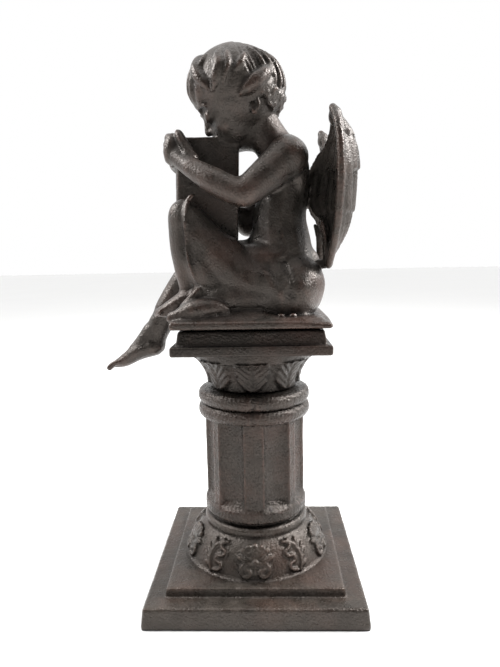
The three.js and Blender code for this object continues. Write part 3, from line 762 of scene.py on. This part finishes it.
# Angel: a seated child with wings, sand-cast in one piece of grey iron together with the slab it sits on.
# It bends over a book held open in both hands, one knee drawn up under a cloth and the other leg hanging.
# Its limbs are laid up as lumps of clay, fused and smoothed, and finer parts are added and fused again.
SLAB_SIDE = 86.0
SLAB_LOW = 158.2
SLAB_TOP = 163.4
CLAY_VOXEL = 1.1
ANGEL_VOXEL = 0.74
ANGEL_TRIANGLES = 190000
HEAD_CENTRE = (-5.8, 0, 287)
HEAD_RADII = (24.2, 22.3, 24.4)
HEAD_TILT = 0.5
HAIR_CENTRE = (-6.6, 0, 290.4)
HAIR_RADII = (26.4, 23.8, 23.4)
HAIR_EDGE = 281.8
BOOK_SPINE_X = -41.0
BOOK_SPINE_HALF = 5.2
BOOK_WIDTH = 34.8
BOOK_HEIGHT = 57.0
BOOK_MIDDLE = 234.9
BOOK_THICK = 3.6
NEAR_COVER_OPEN = 0.04
FAR_COVER_OPEN = 0.42
BOOK_LEAN = 0.03
PAGE_THICK = 2.4
PAGE_INSET = 1.6
WING_RIM = (
    (43, -30, 271), (45, -36.5, 261), (46.2, -38.5, 243),
    (46, -37, 225), (44.8, -32, 208), (42, -22, 190.5),
)
WING_ROOT = (
    (43, -25, 270), (40.6, -16, 257), (32.6, -6, 246),
    (30.4, -4, 226), (40.2, -14, 209), (40.4, -17, 191),
)
WING_BACK = ((48.6, 0), (55.6, 0.2), (59.2, 0.36), (58.8, 0.55), (54.4, 0.78), (43.8, 1))
WING_EDGE = 2.6
FEATHER_TIPS = (0.0, 0.24, 0.45, 0.68, 1.05)
FEATHERS_ACROSS = 5
FEATHER_RELIEF = 1.7
FEATHER_ROUND = 0.055
WING_CUTS = 79
HAND_LOWS = ((-1, 254.8), (1, 253.4))
FINGERS = 4
FINGER_PITCH = 3.8
TOES = 5
MOUND_LOW_SIDE = 82.5
MOUND_TOP_SIDE = 58
MOUND_TOP = 168.4
MOUND_ROUND = 2.0
MOUND_JOIN = 167.2
SEAT_FADE = 176.0
SEAT_DROP = 3.2
SEAT_DROP_FROM = 6
SEAT_DROP_BAND = 10
SLAB_ROUND = 1.2
SLAB_WORN_BAND = 8
SLAB_WORN_DROP = 1.0
SLAB_WORN_TOP = 166.5
CORNER_WORN_REACH = 11
CORNER_WORN_DROP = 1.6
STRAND_WIDTH = 0.75
STRAND_DEPTH = 0.7
HEM_WIDTH = 1.1
HEM_HEIGHT = 1.6
ANGEL_SKIN_SIZE = 2.0
ANGEL_SKIN_DEPTH = 0.13
ANGEL_IRON = (0.0246, 0.0208, 0.0177)
ANGEL_RUST = (0.06, 0.034, 0.0265)
ANGEL_GLOSS = 0.34
ANGEL_SHINE = 0.55
ANGEL_GRAIN = 0.46


def smooth_path(places, steps=8):
    """A smooth line of points through the given places."""
    places = np.asarray(places, float)
    padded = np.vstack([2 * places[0] - places[1], places, 2 * places[-1] - places[-2]])
    line = []
    for p0, p1, p2, p3 in zip(padded, padded[1:], padded[2:], padded[3:]):
        for t in np.arange(steps) / steps:
            cubic = (3 * p1 - p0 - 3 * p2 + p3) * t**3
            line.append(0.5 * (2 * p1 + (p2 - p0) * t + (2 * p0 - 5 * p1 + 4 * p2 - p3) * t**2 + cubic))
    line.append(places[-1])
    return np.array(line)


def press(piece, grooves):
    """Pushes the surface in along (path, width, depth) grooves, or out where a depth is negative."""
    places = points_of(piece)
    normals = points_of(piece, "normal")
    moves = np.zeros(len(places))
    for path, width, depth in grooves:
        path = np.asarray(path, float)
        near = (places > path.min(axis=0) - 3 * width) & (places < path.max(axis=0) + 3 * width)
        index = np.flatnonzero(np.all(near, axis=1))
        spots = places[index]
        gap = np.full(len(spots), 1e9)
        for start, end in zip(path, path[1:]):
            run = end - start
            part = np.clip((spots - start) @ run / (run @ run), 0, 1)
            gap = np.minimum(gap, np.linalg.norm(spots - start - part[:, None] * run, axis=1))
        moves[index] += depth * np.exp(-((gap / width) ** 2))
    set_points(piece, places - normals * moves[:, None])


def dent(spot, width, depth):
    """A groove of almost no length, around one spot."""
    return [spot, np.asarray(spot) + (0, 0, 0.01)], width, depth


def face_place(forward, side, up):
    """A place in the bowed head's own directions."""
    x = HEAD_CENTRE[0] - math.cos(HEAD_TILT) * forward - math.sin(HEAD_TILT) * up
    z = HEAD_CENTRE[2] - math.sin(HEAD_TILT) * forward + math.cos(HEAD_TILT) * up
    return [x, side, z]


def hair_place(turn, polar, lift=0.0):
    """A place on the cap of hair: turn 0 is the brow and 90 degrees the left side, polar 0 the crown."""
    turn = math.radians(turn)
    return [
        HAIR_CENTRE[0] - (HAIR_RADII[0] + lift) * math.sin(polar) * math.cos(turn),
        HAIR_CENTRE[1] - (HAIR_RADII[1] + lift) * math.sin(polar) * math.sin(turn),
        HAIR_CENTRE[2] + (HAIR_RADII[2] + lift) * math.cos(polar),
    ]


# Trunk, limbs, head and the cloth over the near leg
near_upper_arm = [[20.6, -20.5, 248.5, 10.8], [9.2, -25.4, 238.6, 9.4], [-2.2, -30, 228.8, 7.9]]
near_forearm = [
    [-2.2, -30, 228.8, 7.7], [-10.4, -28, 231.8, 7.4], [-18.6, -25.8, 236.3, 7.3], [-32, -20, 244.8, 5.5],
]
far_upper_arm = [[20.6, 20.5, 248.5, 10.8], [9, 25.4, 232, 9.4], [-2.4, 29.4, 216, 7.6]]
far_forearm = [
    [-2.4, 29.4, 216, 7.6], [-14.4, 26.6, 228, 8.0], [-30, 22.5, 243, 6.2], [-40, 15, 251.5, 5.4],
]
near_thigh = [[22, -16, 179, 17.5], [0, -18, 181, 15.2], [-16, -18, 194, 13.4], [-35.6, -16, 218.6, 10]]
near_shin = [[-36, -15.6, 218, 9.8], [-36.6, -15, 200, 8.6], [-35.2, -14, 176, 5]]
near_calf = [[-31, -18, 208, 8.6], [-24, -19, 189, 11], [-14, -19, 176, 11]]
cloth_end = [
    [-14.2, -32.4, 168, 3.2], [-18.5, -33, 169, 4.6], [-23, -33.4, 169, 5.4],
    [-27.4, -33.6, 168.4, 5.9], [-31.4, -33.6, 167.6, 5.8], [-35.8, -33.6, 166.2, 4.7],
    [-39.6, -33.6, 165, 3.6], [-42.6, -33.6, 164.6, 2.8],
]
waist = [[-2, -15, 194, 9.4], [8, -17.2, 193.4, 10], [18, -17.2, 193, 10]]
cloth_fall = [[-24, -21.4, 174, 9.6], [-10, -22.4, 174, 10.4], [6, -22.6, 174, 10.6], [17, -22, 174, 10]]
cloth_ridge = [[-36.4, -31.4, 169.4, 2.4], [-31.8, -31, 174.4, 2.2], [-28.2, -29.8, 178.4, 1.8]]
near_foot = [
    [-34.6, -14.6, 174, 5.8], [-40.2, -15.2, 171.4, 5.0],
    [-44.6, -15.4, 169, 4.5], [-50.2, -15.4, 166.4, 3.4],
]
far_thigh = [[22, 16, 179, 17], [-14, 17, 181, 13], [-42.6, 16, 178.4, 8.6]]
far_shin = [
    [-41, 16, 182.6, 9.2], [-46, 16.6, 175.6, 9.0], [-53.6, 16, 163.5, 8.6],
    [-61, 16, 150, 7.4], [-63, 16, 144, 7.0],
]
far_foot = [
    [-62.4, 16, 141.2, 6.5], [-72.8, 16.3, 137.8, 5.8], [-83, 16.5, 131.7, 4.3], [-87.6, 16.6, 129.8, 3.0],
]
far_instep = [[-63.5, 16, 151, 6.6], [-69, 16.2, 143.8, 6.2], [-76, 16.3, 137.6, 4.9]]
neck = [[16.8, 0, 254, 11.4], [8.6, 0, 267, 10.6], [1, 0, 280, 11]]
torso = [
    [21, 0, 184, 18], [18, 0, 203, 17.2], [17, 0, 219, 15.6], [20.6, 0, 236, 14.2], [21.6, 0, 250, 10.4],
]
shoulders = [[21.4, -19, 249.5, 10.6], [21.4, 0, 253, 11], [21.4, 19, 249.5, 10.6]]
clay_lumps = [limb(torso, 1.45), limb(cloth_fall), limb(near_foot, 1.3), limb(far_foot, 1.3)]
for run in (shoulders, neck, near_upper_arm, near_forearm, far_upper_arm, far_forearm):
    clay_lumps.append(limb(run))
for run in (near_thigh, near_shin, near_calf, waist, far_thigh, far_shin, far_instep):
    clay_lumps.append(limb(run))
clay_lumps += [
    ball(HEAD_CENTRE, HEAD_RADII, segments=40),
    ball(face_place(9.2, 0, -13.4), (14.9, 14.4, 15.4), segments=32),
    ball((0.6, 0, 267.4), (12, 11, 11.6)),
    ball((8.6, 0, 203), (10, 17.5, 15)),
    ball((-1, -17, 179), (27, 15.4, 15.8)),
    ball((-3, 1, 182), (35, 20, 24)),
    ball((-17, -20, 192), (14, 9.5, 17), (0, 0.5, 0)),
    ball((24.4, 0, 192), (16.2, 15, 12.6)),
    ball((-19, -27.6, 174), (6.4, 5, 5.4)),
    ball((-25.6, -26.4, 174.4), (6, 5.2, 6)),
]
for hand in (-1, 1):
    clay_lumps += [
        ball((22, hand * 15.5, 180), (19.8, 17.2, 17.8)),
        ball((21, hand * 19.5, 177), (17.2, 15.5, 14.8)),
        ball((28, hand * 12, 240), (5.4, 8.4, 12.5), (0, 0.1, 0)),
        ball((9.4, hand * 9, 236), (7.6, 8.6, 8.6)),
        ball((21, hand * 20.4, 248.4), (11.6, 11, 11.4)),
        ball(face_place(13.4, hand * 8.6, -12.4), (7.4, 7.2, 7.6)),
    ]
clay = join(clay_lumps, "clay")
fuse(clay, CLAY_VOXEL, 9)

# Face: a calm child's face with lowered lids
face_lumps = []
sockets = []


def face_line(places, radius, hand=1):
    """A raised line on the face along places in the head's own directions."""
    face_lumps.append(limb([[*face_place(a, hand * b, c), radius] for a, b, c in places], fine=3))


for hand in (-1, 1):
    sockets.append(dent(face_place(23.2, hand * 8.2, -3.6), 4.8, 1.6))
    sockets.append(dent(face_place(21.6, hand * 4.6, -8.0), 2.8, 0.5))
    face_lumps.append(ball(face_place(19.9, hand * 8.2, -4.2), (3.5, 4.9, 3.5), (0, -HEAD_TILT, 0)))
    lid = ((21.2, 4.2, -4.9), (23.0, 6.6, -6.1), (23.2, 8.4, -6.5), (22.4, 10.6, -6.0), (20.4, 12.6, -4.8))
    face_line(lid, 0.6, hand)
    brow = ((23.0, 3.4, 0.6), (23.4, 7.0, 2.4), (22.2, 10.6, 2.4), (19.6, 14.0, 0.4))
    face_line(brow, 1.1, hand)
    face_lumps.append(ball(face_place(23.2, hand * 2.1, -10.6), (1.7, 1.5, 1.4)))
    upper_lip = ((21.6, 4.4, -16.0), (23.4, 2.6, -15.3), (24.0, 1.0, -14.9), (23.8, 0, -15.2))
    face_line(upper_lip, 1.0, hand)
press(clay, sockets)
nose = ((21.8, -0.6, 1.5), (23.0, -4.6, 1.7), (24.6, -8.4, 2.0), (25.0, -9.8, 2.1))
face_lumps.append(limb([[*face_place(a, 0, c), radius] for a, c, radius in nose], fine=4))
lower_lip = ((21.8, -3.4, -17.2), (23.4, -1.4, -17.9), (23.4, 1.4, -17.9), (21.8, 3.4, -17.2))
face_line(lower_lip, 1.15)
face_lumps.append(ball(face_place(19.0, 0, -22.6), (4.8, 5.4, 4.6)))

# Ears: a folded rim round a hollow, with a lobe
for hand in (-1, 1):
    rim = []
    for swing in np.radians((-60, -20, 25, 70, 115, 160)):
        side = hand * (19.6 + 0.8 * math.sin(swing))
        rim.append([3.6 + 2.4 * math.sin(swing), side, 276.2 + 3.5 * math.cos(swing), 1.0])
    face_lumps.append(limb(rim, fine=3))
    face_lumps.append(ball((3.2, hand * 18.2, 275.8), (2.4, 2.0, 3.4), segments=14))
    face_lumps.append(ball((3.4, hand * 19.4, 272.6), (1.5, 1.3, 1.5), segments=12))

# Hair: a bowl-shaped cap with wavy locks, a fringe over the brow and curls at the nape
cap = join([ball(HAIR_CENTRE, HAIR_RADII, segments=48)], "cap")
start_edit(cap)
bpy.ops.mesh.bisect(
    plane_co=(HAIR_CENTRE[0], 0, HAIR_EDGE), plane_no=(-0.08, 0, 1), use_fill=True, clear_inner=True
)
bpy.ops.object.mode_set(mode="OBJECT")
hair_lumps = [cap, ball((7.4, 0, 283), (12.4, 16.6, 6.6))]


def lock(line, radii, lift=-0.7, hand=1):
    """A lock of hair that lies on the cap along (turn, polar) places."""
    run = [[*hair_place(hand * turn, polar, lift), radius] for (turn, polar), radius in zip(line, radii)]
    hair_lumps.append(limb(run, fine=4))


LOCK_RADII = (1.0, 2.6, 3.6, 3.4, 2.6, 1.3)
for hand in (-1, 1):
    lock([(24, 0.86), (28, 1.06), (36, 1.3), (43, 1.49), (51, 1.66), (58, 1.82)], LOCK_RADII, 0.1, hand)
    lock([(44, 0.94), (45, 1.12), (43, 1.3), (47, 1.5), (54, 1.7)], (0.8, 1.5, 1.8, 1.8, 1.0), 0.2, hand)
    lock([(70, 0.86), (69, 1.1), (73, 1.36), (70, 1.54), (68, 1.7), (64, 1.84)], LOCK_RADII, 0.1, hand)
    lock([(80, 0.98), (82, 1.18), (83, 1.38), (80, 1.56), (77, 1.74)], (0.8, 1.8, 2.2, 1.9, 0.9), 0.6, hand)
    lock([(104, 1.02), (101, 1.18), (97, 1.34), (92, 1.46)], (0.8, 2.0, 2.2, 0.9), 0.0, hand)
    over_ear = [(134, 1.36), (126, 1.52), (115, 1.7), (105, 1.86), (97, 1.97)]
    lock(over_ear, (1.8, 4.0, 4.6, 3.4, 1.3), 0.4, hand)
    lock([(138, 1.58), (131, 1.74), (121, 1.9), (111, 2.02)], (1.6, 3.2, 3.4, 1.8), -0.4, hand)
    lock([(8, 0.55), (11, 0.95), (10, 1.35), (6, 1.68), (3, 1.92)], (1.0, 2.4, 3.0, 2.8, 1.3), -1.0, hand)
    lock([(20, 0.7), (25, 1.1), (26, 1.45), (21, 1.78), (16, 2.0)], (1.0, 2.4, 3.0, 2.8, 1.3), -1.0, hand)
    lock([(38, 1.2), (42, 1.5), (40, 1.78), (33, 2.0), (29, 2.1)], (1.0, 2.6, 3.2, 2.6, 1.2), -1.2, hand)
    for start in (112, 125, 138, 151, 164, 176):
        sweep = ((start, 0.78), (start + 9, 1.06), (start + 15, 1.34), (start + 18, 1.6), (start + 17, 1.8))
        if start + 17 < 182:
            lock(sweep, (0.7, 1.6, 2.0, 2.0, 1.0), -0.1, hand)


def curl(turn, polar, size, spin):
    """A small curl of hair: a ring left open, lying on the cap."""
    middle = np.array(hair_place(turn, polar, 0.4))
    out = middle - np.array(HAIR_CENTRE)
    out /= np.linalg.norm(out)
    side = np.cross(out, (0, 0, 1))
    side /= np.linalg.norm(side)
    rise = np.cross(side, out)
    run = []
    for k in range(7):
        swing = spin + k * 0.85
        reach = size * (1 - 0.09 * k)
        ring = side * math.cos(swing) + rise * math.sin(swing)
        run.append([*(middle + reach * ring + 0.25 * k * out), 1.4])
    hair_lumps.append(limb(run, fine=3))


for k in range(12):
    curl(122 + 10.6 * k, 1.84 + 0.07 * (k % 2), 2.6, 1.7 * k)
for k in range(8):
    curl(140 + 11 * k, 2.06 + 0.05 * (k % 2), 2.4, 2.3 * k)

# Book: two covers set open in a V with their pages inside, on a rounded spine
book_lumps = []
for hand, opened in ((-1, NEAR_COVER_OPEN), (1, FAR_COVER_OPEN)):
    plates = (
        (BOOK_WIDTH / 2, 0, BOOK_WIDTH, BOOK_THICK, BOOK_HEIGHT),
        (
            (BOOK_WIDTH - PAGE_INSET) / 2,
            -hand * (BOOK_THICK + PAGE_THICK - 1) / 2,
            BOOK_WIDTH - PAGE_INSET,
            PAGE_THICK + 1,
            BOOK_HEIGHT - 2 * PAGE_INSET,
        ),
    )
    for x, y, long, thick, tall in plates:
        bpy.ops.mesh.primitive_cube_add(size=1)
        plate = bpy.context.object
        hinge = Matrix.Translation((BOOK_SPINE_X, 0, BOOK_MIDDLE)) @ Matrix.Rotation(BOOK_LEAN, 4, "Y")
        swing = Matrix.Translation((0, hand * BOOK_SPINE_HALF, 0)) @ Matrix.Rotation(hand * opened, 4, "Z")
        sized = Matrix.Translation((x, y, 0)) @ Matrix.Diagonal((long, thick, tall, 1))
        plate.matrix_world = hinge @ swing @ sized
        plate = join([plate], "plate")
        apply_modifier(plate, "BEVEL", width=0.5, segments=2)
        book_lumps.append(plate)
bpy.ops.mesh.primitive_cylinder_add(
    vertices=32,
    radius=1,
    depth=1,
    location=(BOOK_SPINE_X + 1, 0, BOOK_MIDDLE),
    rotation=(0, BOOK_LEAN, 0),
    scale=(0.8 * BOOK_THICK, BOOK_SPINE_HALF + BOOK_THICK / 2, BOOK_HEIGHT),
)
spine = join([bpy.context.object], "spine")
apply_modifier(spine, "BEVEL", width=0.5, segments=2)
book_lumps.append(spine)

# Hands: four fingers round the spine and a thumb up the cover
hand_lumps = []
for side, low in HAND_LOWS:
    hand_lumps.append(limb([
        [-32, side * 19.2, low - 9.8, 5.4],
        [-37.6, side * 14.6, low - 4.8, 5.4],
        [-42.2, side * 11.2, low - 0.4, 5.2],
    ]))
    hand_lumps.append(ball((-42.6, side * 11.4, low + 1.0), (4.8, 6.0, 8.8), (0, 0.12, 0)))
    for k in range(FINGERS):
        height = low + 7.4 - FINGER_PITCH * k
        bend = (1.2, 0.4, 0.2, 0.9)[k]
        hand_lumps.append(limb([
            [-41.8, side * 12.8, height - 1.2, 2.6],
            [-45.2 + bend, side * 10.6, height - 0.2, 2.7],
            [-45.8 + bend, side * 7.0, height + 0.4, 2.5],
            [-44.8, side * 1.6, height + 0.4, 2.0],
        ], fine=4))
    thumb = (
        (-31.4, 17.4, -6.0, 4.6), (-34.2, 16.8, 0.2, 3.5), (-36.6, 16.0, 4.8, 3.1), (-38.0, 15.2, 8.0, 2.7),
    )
    hand_lumps.append(limb([[x, side * y, low + z, radius] for x, y, z, radius in thumb], fine=4))
    hand_lumps.append(ball((-38.6, side * 16.2, low + 9.2), (1.2, 1.0, 1.7), (0, -0.3, 0), 12))

# Toes, five to a foot, the end of the cloth like a third small foot, and its ridge
foot_lumps = [limb(cloth_end), limb(cloth_ridge, fine=4)]
for k in range(3):
    tip = (-43.4 + 0.9 * k, -33.6 + 2.2 * k, 164.7 + 0.5 * k)
    foot_lumps.append(ball(tip, (1.9, 1.3, 1.7), (0, -0.3, 0), 14))
for run, inner, drop in ((near_foot, 1, 0.25), (far_foot, -1, 0.42)):
    x, y, z, radius = run[-1]
    for k in range(TOES):
        spread = inner * (1.7 - 0.85 * k) * radius * 0.8
        thick = radius * (0.66 - 0.07 * k)
        long = radius * (1.35 - 0.24 * k)
        foot_lumps.append(limb([
            [x + 5, y + 0.8 * spread, z + 0.2 + 5 * drop, 1.1 * thick],
            [x - 0.4 * long, y + spread, z + 0.5, 0.86 * thick],
            [x - long, y + 1.04 * spread, z - drop * long - 0.2, thick],
        ], fine=3))

# The hook of the hem on the knee, the low mound under the cloth, and two drops of iron in front of the seat
foot_lumps.append(limb([
    [-29.8, -21.6, 229.6, 0.7], [-32.2, -21.4, 228.6, 1.0], [-34.4, -22, 225.2, 1.1],
    [-34.6, -24.4, 220, 1.1], [-34.4, -26, 214, 0.9],
], fine=3))
foot_lumps.append(square_block(MOUND_LOW_SIDE, MOUND_TOP_SIDE, SLAB_TOP - 0.8, MOUND_TOP, MOUND_ROUND))
for x, y, z, size in ((16.4, -35.2, 166.8, 1.8), (22.4, -35.0, 166.9, 2.0)):
    foot_lumps.append(ball((x, y, z), (1.3 * size, 0.9 * size, size), segments=14))


def wing(hand):
    """A cupped wing: a finely cut box bent between its root and its rim, with rows of feathers."""
    bpy.ops.mesh.primitive_cube_add(size=1)
    shell = bpy.context.object
    start_edit(shell)
    bpy.ops.mesh.subdivide(number_cuts=WING_CUTS)
    bpy.ops.object.mode_set(mode="OBJECT")
    x, y, z = points_of(shell).T
    u, v, w = x + 0.5, 0.5 - y, z + 0.5
    rim, root = smooth_path(WING_RIM), smooth_path(WING_ROOT)
    stations = np.linspace(0, 1, len(rim))
    at_root, at_rim = (
        np.stack([np.interp(v, stations, line[:, axis]) for axis in range(3)], axis=1)
        for line in (root, rim)
    )
    place = (1 - u)[:, None] * at_root + u[:, None] * at_rim
    outline = smooth_path(WING_BACK)
    bow = np.sin(math.pi * np.minimum(0.06 + 0.9 * u, 1))
    reach = np.maximum(np.interp(v, outline[:, 1], outline[:, 0]) - place[:, 0] - WING_EDGE, 0)
    spread = (u + 0.12 * v) * FEATHERS_ACROSS
    relief = np.zeros_like(u)
    for k, (upper, lower) in enumerate(zip(FEATHER_TIPS, FEATHER_TIPS[1:])):
        cell = 2 * ((spread + 0.5 * (k % 2)) % 1) - 1
        cell_above = 2 * ((spread + 0.5 * ((k + 1) % 2)) % 1) - 1
        start = upper - FEATHER_ROUND * cell_above**2 if k else np.zeros_like(u) - 0.001
        tip = lower - FEATHER_ROUND * cell**2
        part = (v - start) / (tip - start)
        rise = 0.3 + 0.7 * np.clip(part, 0, 1) - 0.42 * cell**2 + 0.28 * np.exp(-((cell / 0.13) ** 2))
        rise -= 0.45 * np.exp(-(((1 - np.abs(cell)) / 0.26) ** 2))
        barbs = 0.07 * np.cos(2 * math.pi * (9 * part + 2.2 * np.abs(cell)))
        relief = np.where((part >= 0) & (part < 1), rise + barbs, relief)
    fade = np.clip(u / 0.08, 0, 1) * np.clip((0.95 - u) / 0.05, 0, 1) * np.clip((v - 0.04) / 0.2, 0, 1)
    relief = FEATHER_RELIEF * relief * fade - 1.1 * np.exp(-(((u - 0.92) / 0.03) ** 2))
    back = WING_EDGE + reach * bow**0.8 - FEATHER_RELIEF + relief
    front = 0.35 * reach * bow - 0.7 * relief + 0.5
    place[:, 0] += (1 - w) * front + w * back
    place[:, 1] *= -hand
    set_points(shell, place)
    close_up(shell)
    return shell


wing_lumps = []
for hand in (-1, 1):
    wing_lumps += [
        wing(hand),
        limb([[x + 1.0, -hand * y, z, 2.1] for x, y, z in WING_RIM], fine=4),
        ball((45.4, hand * 29.4, 266.6), (3.6, 4.4, 5.0)),
        limb([[38, hand * 15.6, 191.4, 2.6], [41.4, hand * 18.8, 190.8, 2.4]], fine=4),
    ]
    for shift in (1.6, 5.4):
        inner = ((38.6, 13.6, 214), (40.2, 14.6, 207), (40.6, 16, 199), (41, 17.4, 192.5))
        ridge = [[x + 0.2 * shift, hand * (y + shift), z, 1.25] for x, y, z in inner]
        wing_lumps.append(limb(ridge, fine=3))

# Slab, and everything fused into one skin
slab = square_block(SLAB_SIDE, SLAB_SIDE, SLAB_LOW, SLAB_TOP, SLAB_ROUND)
figure_lumps = [*face_lumps, *hair_lumps, *book_lumps, *hand_lumps, *foot_lumps, *wing_lumps]
angel = join([clay, slab, *figure_lumps], "angel_casting")
fuse(angel, ANGEL_VOXEL, 2)

# Combed strands of hair, the spine, the folds at the hip, the neckline, and the raised hem along the shin
grooves = []
for hand in (-1, 1):
    for turn in (*range(-4, 30, 6), *range(96, 176, 6)):
        sweep = 16 if turn > 90 else 3
        strand = [
            hair_place(hand * (turn + sweep * (polar - 0.7) + 2 * math.sin(3 * polar + turn)), polar, 0.2)
            for polar in np.linspace(0.25, 1.7, 12)
        ]
        grooves.append((strand, STRAND_WIDTH, STRAND_DEPTH))
backbone = [(33.5, 0, 252), (35, 0, 236), (33.4, 0, 219), (35, 0, 203), (40, 0, 186)]
hip_ridge = [(8.6, -31, 188), (9.8, -32, 185.3), (12, -32.4, 181), (14.4, -32.4, 177)]
hip_valley = [(9.6, -28.4, 191), (11.7, -30.6, 188.4), (14.2, -31.6, 184.6), (17, -32, 179)]
seat_fold = [
    (18.6, -27, 193), (19.3, -29.6, 190.4), (20.9, -31.6, 186), (22.1, -33.4, 182), (21.3, -34.4, 177.5),
]
under_seat = [(21.2, -34.4, 174.5), (20.6, -33.9, 171.5), (20.6, -32.3, 168.6), (21.6, -31.2, 167.2)]
for path, width, depth in (
    (backbone, 2.6, 1.1),
    (hip_ridge, 4.4, -1.2),
    (hip_valley, 2.8, 0.9),
    (seat_fold, 1.4, 0.6),
    (seat_fold, 4.0, 1.2),
    (under_seat, 2.6, 1.2),
):
    grooves.append((smooth_path(path), width, depth))
grooves.append(dent((29.6, -29, 181), 8.0, -1.0))
neckline = [(4.5, -13, 253.5), (9.1, -12.4, 259.9), (15.7, -12.6, 263), (24, -11, 263.2)]
grooves.append((smooth_path(neckline), 0.9, -0.8))
for side, low in HAND_LOWS:
    crease = [(-36.4, side * 20, low - 2), (-39.0, side * 17.6, low + 3), (-41.0, side * 15, low + 8)]
    grooves.append((smooth_path(crease), 1.2, 0.9))
hem = [
    (-28.6, -24.2, 229.6), (-31.6, -22.6, 228.4), (-33.7, -22.9, 224.3), (-34.2, -26.0, 217.7),
    (-34.4, -26.5, 210.8), (-34.2, -26.2, 204.4), (-33.8, -26.2, 199.1), (-32.8, -26.8, 193.7),
    (-31.3, -27.2, 188.3), (-29.4, -27.4, 182.3),
]
grooves.append((smooth_path(hem), HEM_WIDTH, -HEM_HEIGHT))
grooves.append((smooth_path([(x - 2.6, y + 1.6, z) for x, y, z in hem[2:]]), 1.6, 1.0))
press(angel, grooves)

# The slab's top is worn round towards its edges and most of all at the near right corner
places = points_of(angel)
half = SLAB_SIDE / 2
inset = np.clip((half - np.max(np.abs(places[:, :2]), axis=1)) / SLAB_WORN_BAND, 0, 1)
corner = np.hypot(places[:, 0] - half, places[:, 1] + half)
upper = np.clip((places[:, 2] - SLAB_LOW - 0.8) / 3, 0, 1)
upper *= np.clip((SLAB_WORN_TOP - places[:, 2]) / 2, 0, 1)
at_edge = SLAB_WORN_DROP * (1 - inset) ** 2
at_corner = CORNER_WORN_DROP * np.exp(-((corner / CORNER_WORN_REACH) ** 2))
places[:, 2] -= upper * (at_edge + at_corner)

# The seat comes right down to the slab at its right end, where the mound is low
right_end = np.clip((places[:, 0] - SEAT_DROP_FROM) / SEAT_DROP_BAND, 0, 1)
below = np.clip((places[:, 2] - SLAB_TOP) / (MOUND_JOIN - SLAB_TOP), 0, 1)
above = np.clip((SEAT_FADE - places[:, 2]) / (SEAT_FADE - MOUND_JOIN), 0, 1)
places[:, 2] -= SEAT_DROP * right_end * below * above
set_points(angel, places)

cast_skin(angel, "angel_skin", ANGEL_SKIN_SIZE, ANGEL_SKIN_DEPTH)
thin_out(angel, ANGEL_TRIANGLES)
angel_iron = cast_iron("angel_iron", ANGEL_IRON, ANGEL_RUST, ANGEL_GLOSS, ANGEL_SHINE, ANGEL_GRAIN)
finish_casting(angel, angel_iron)
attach(angel, "root")
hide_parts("angel")
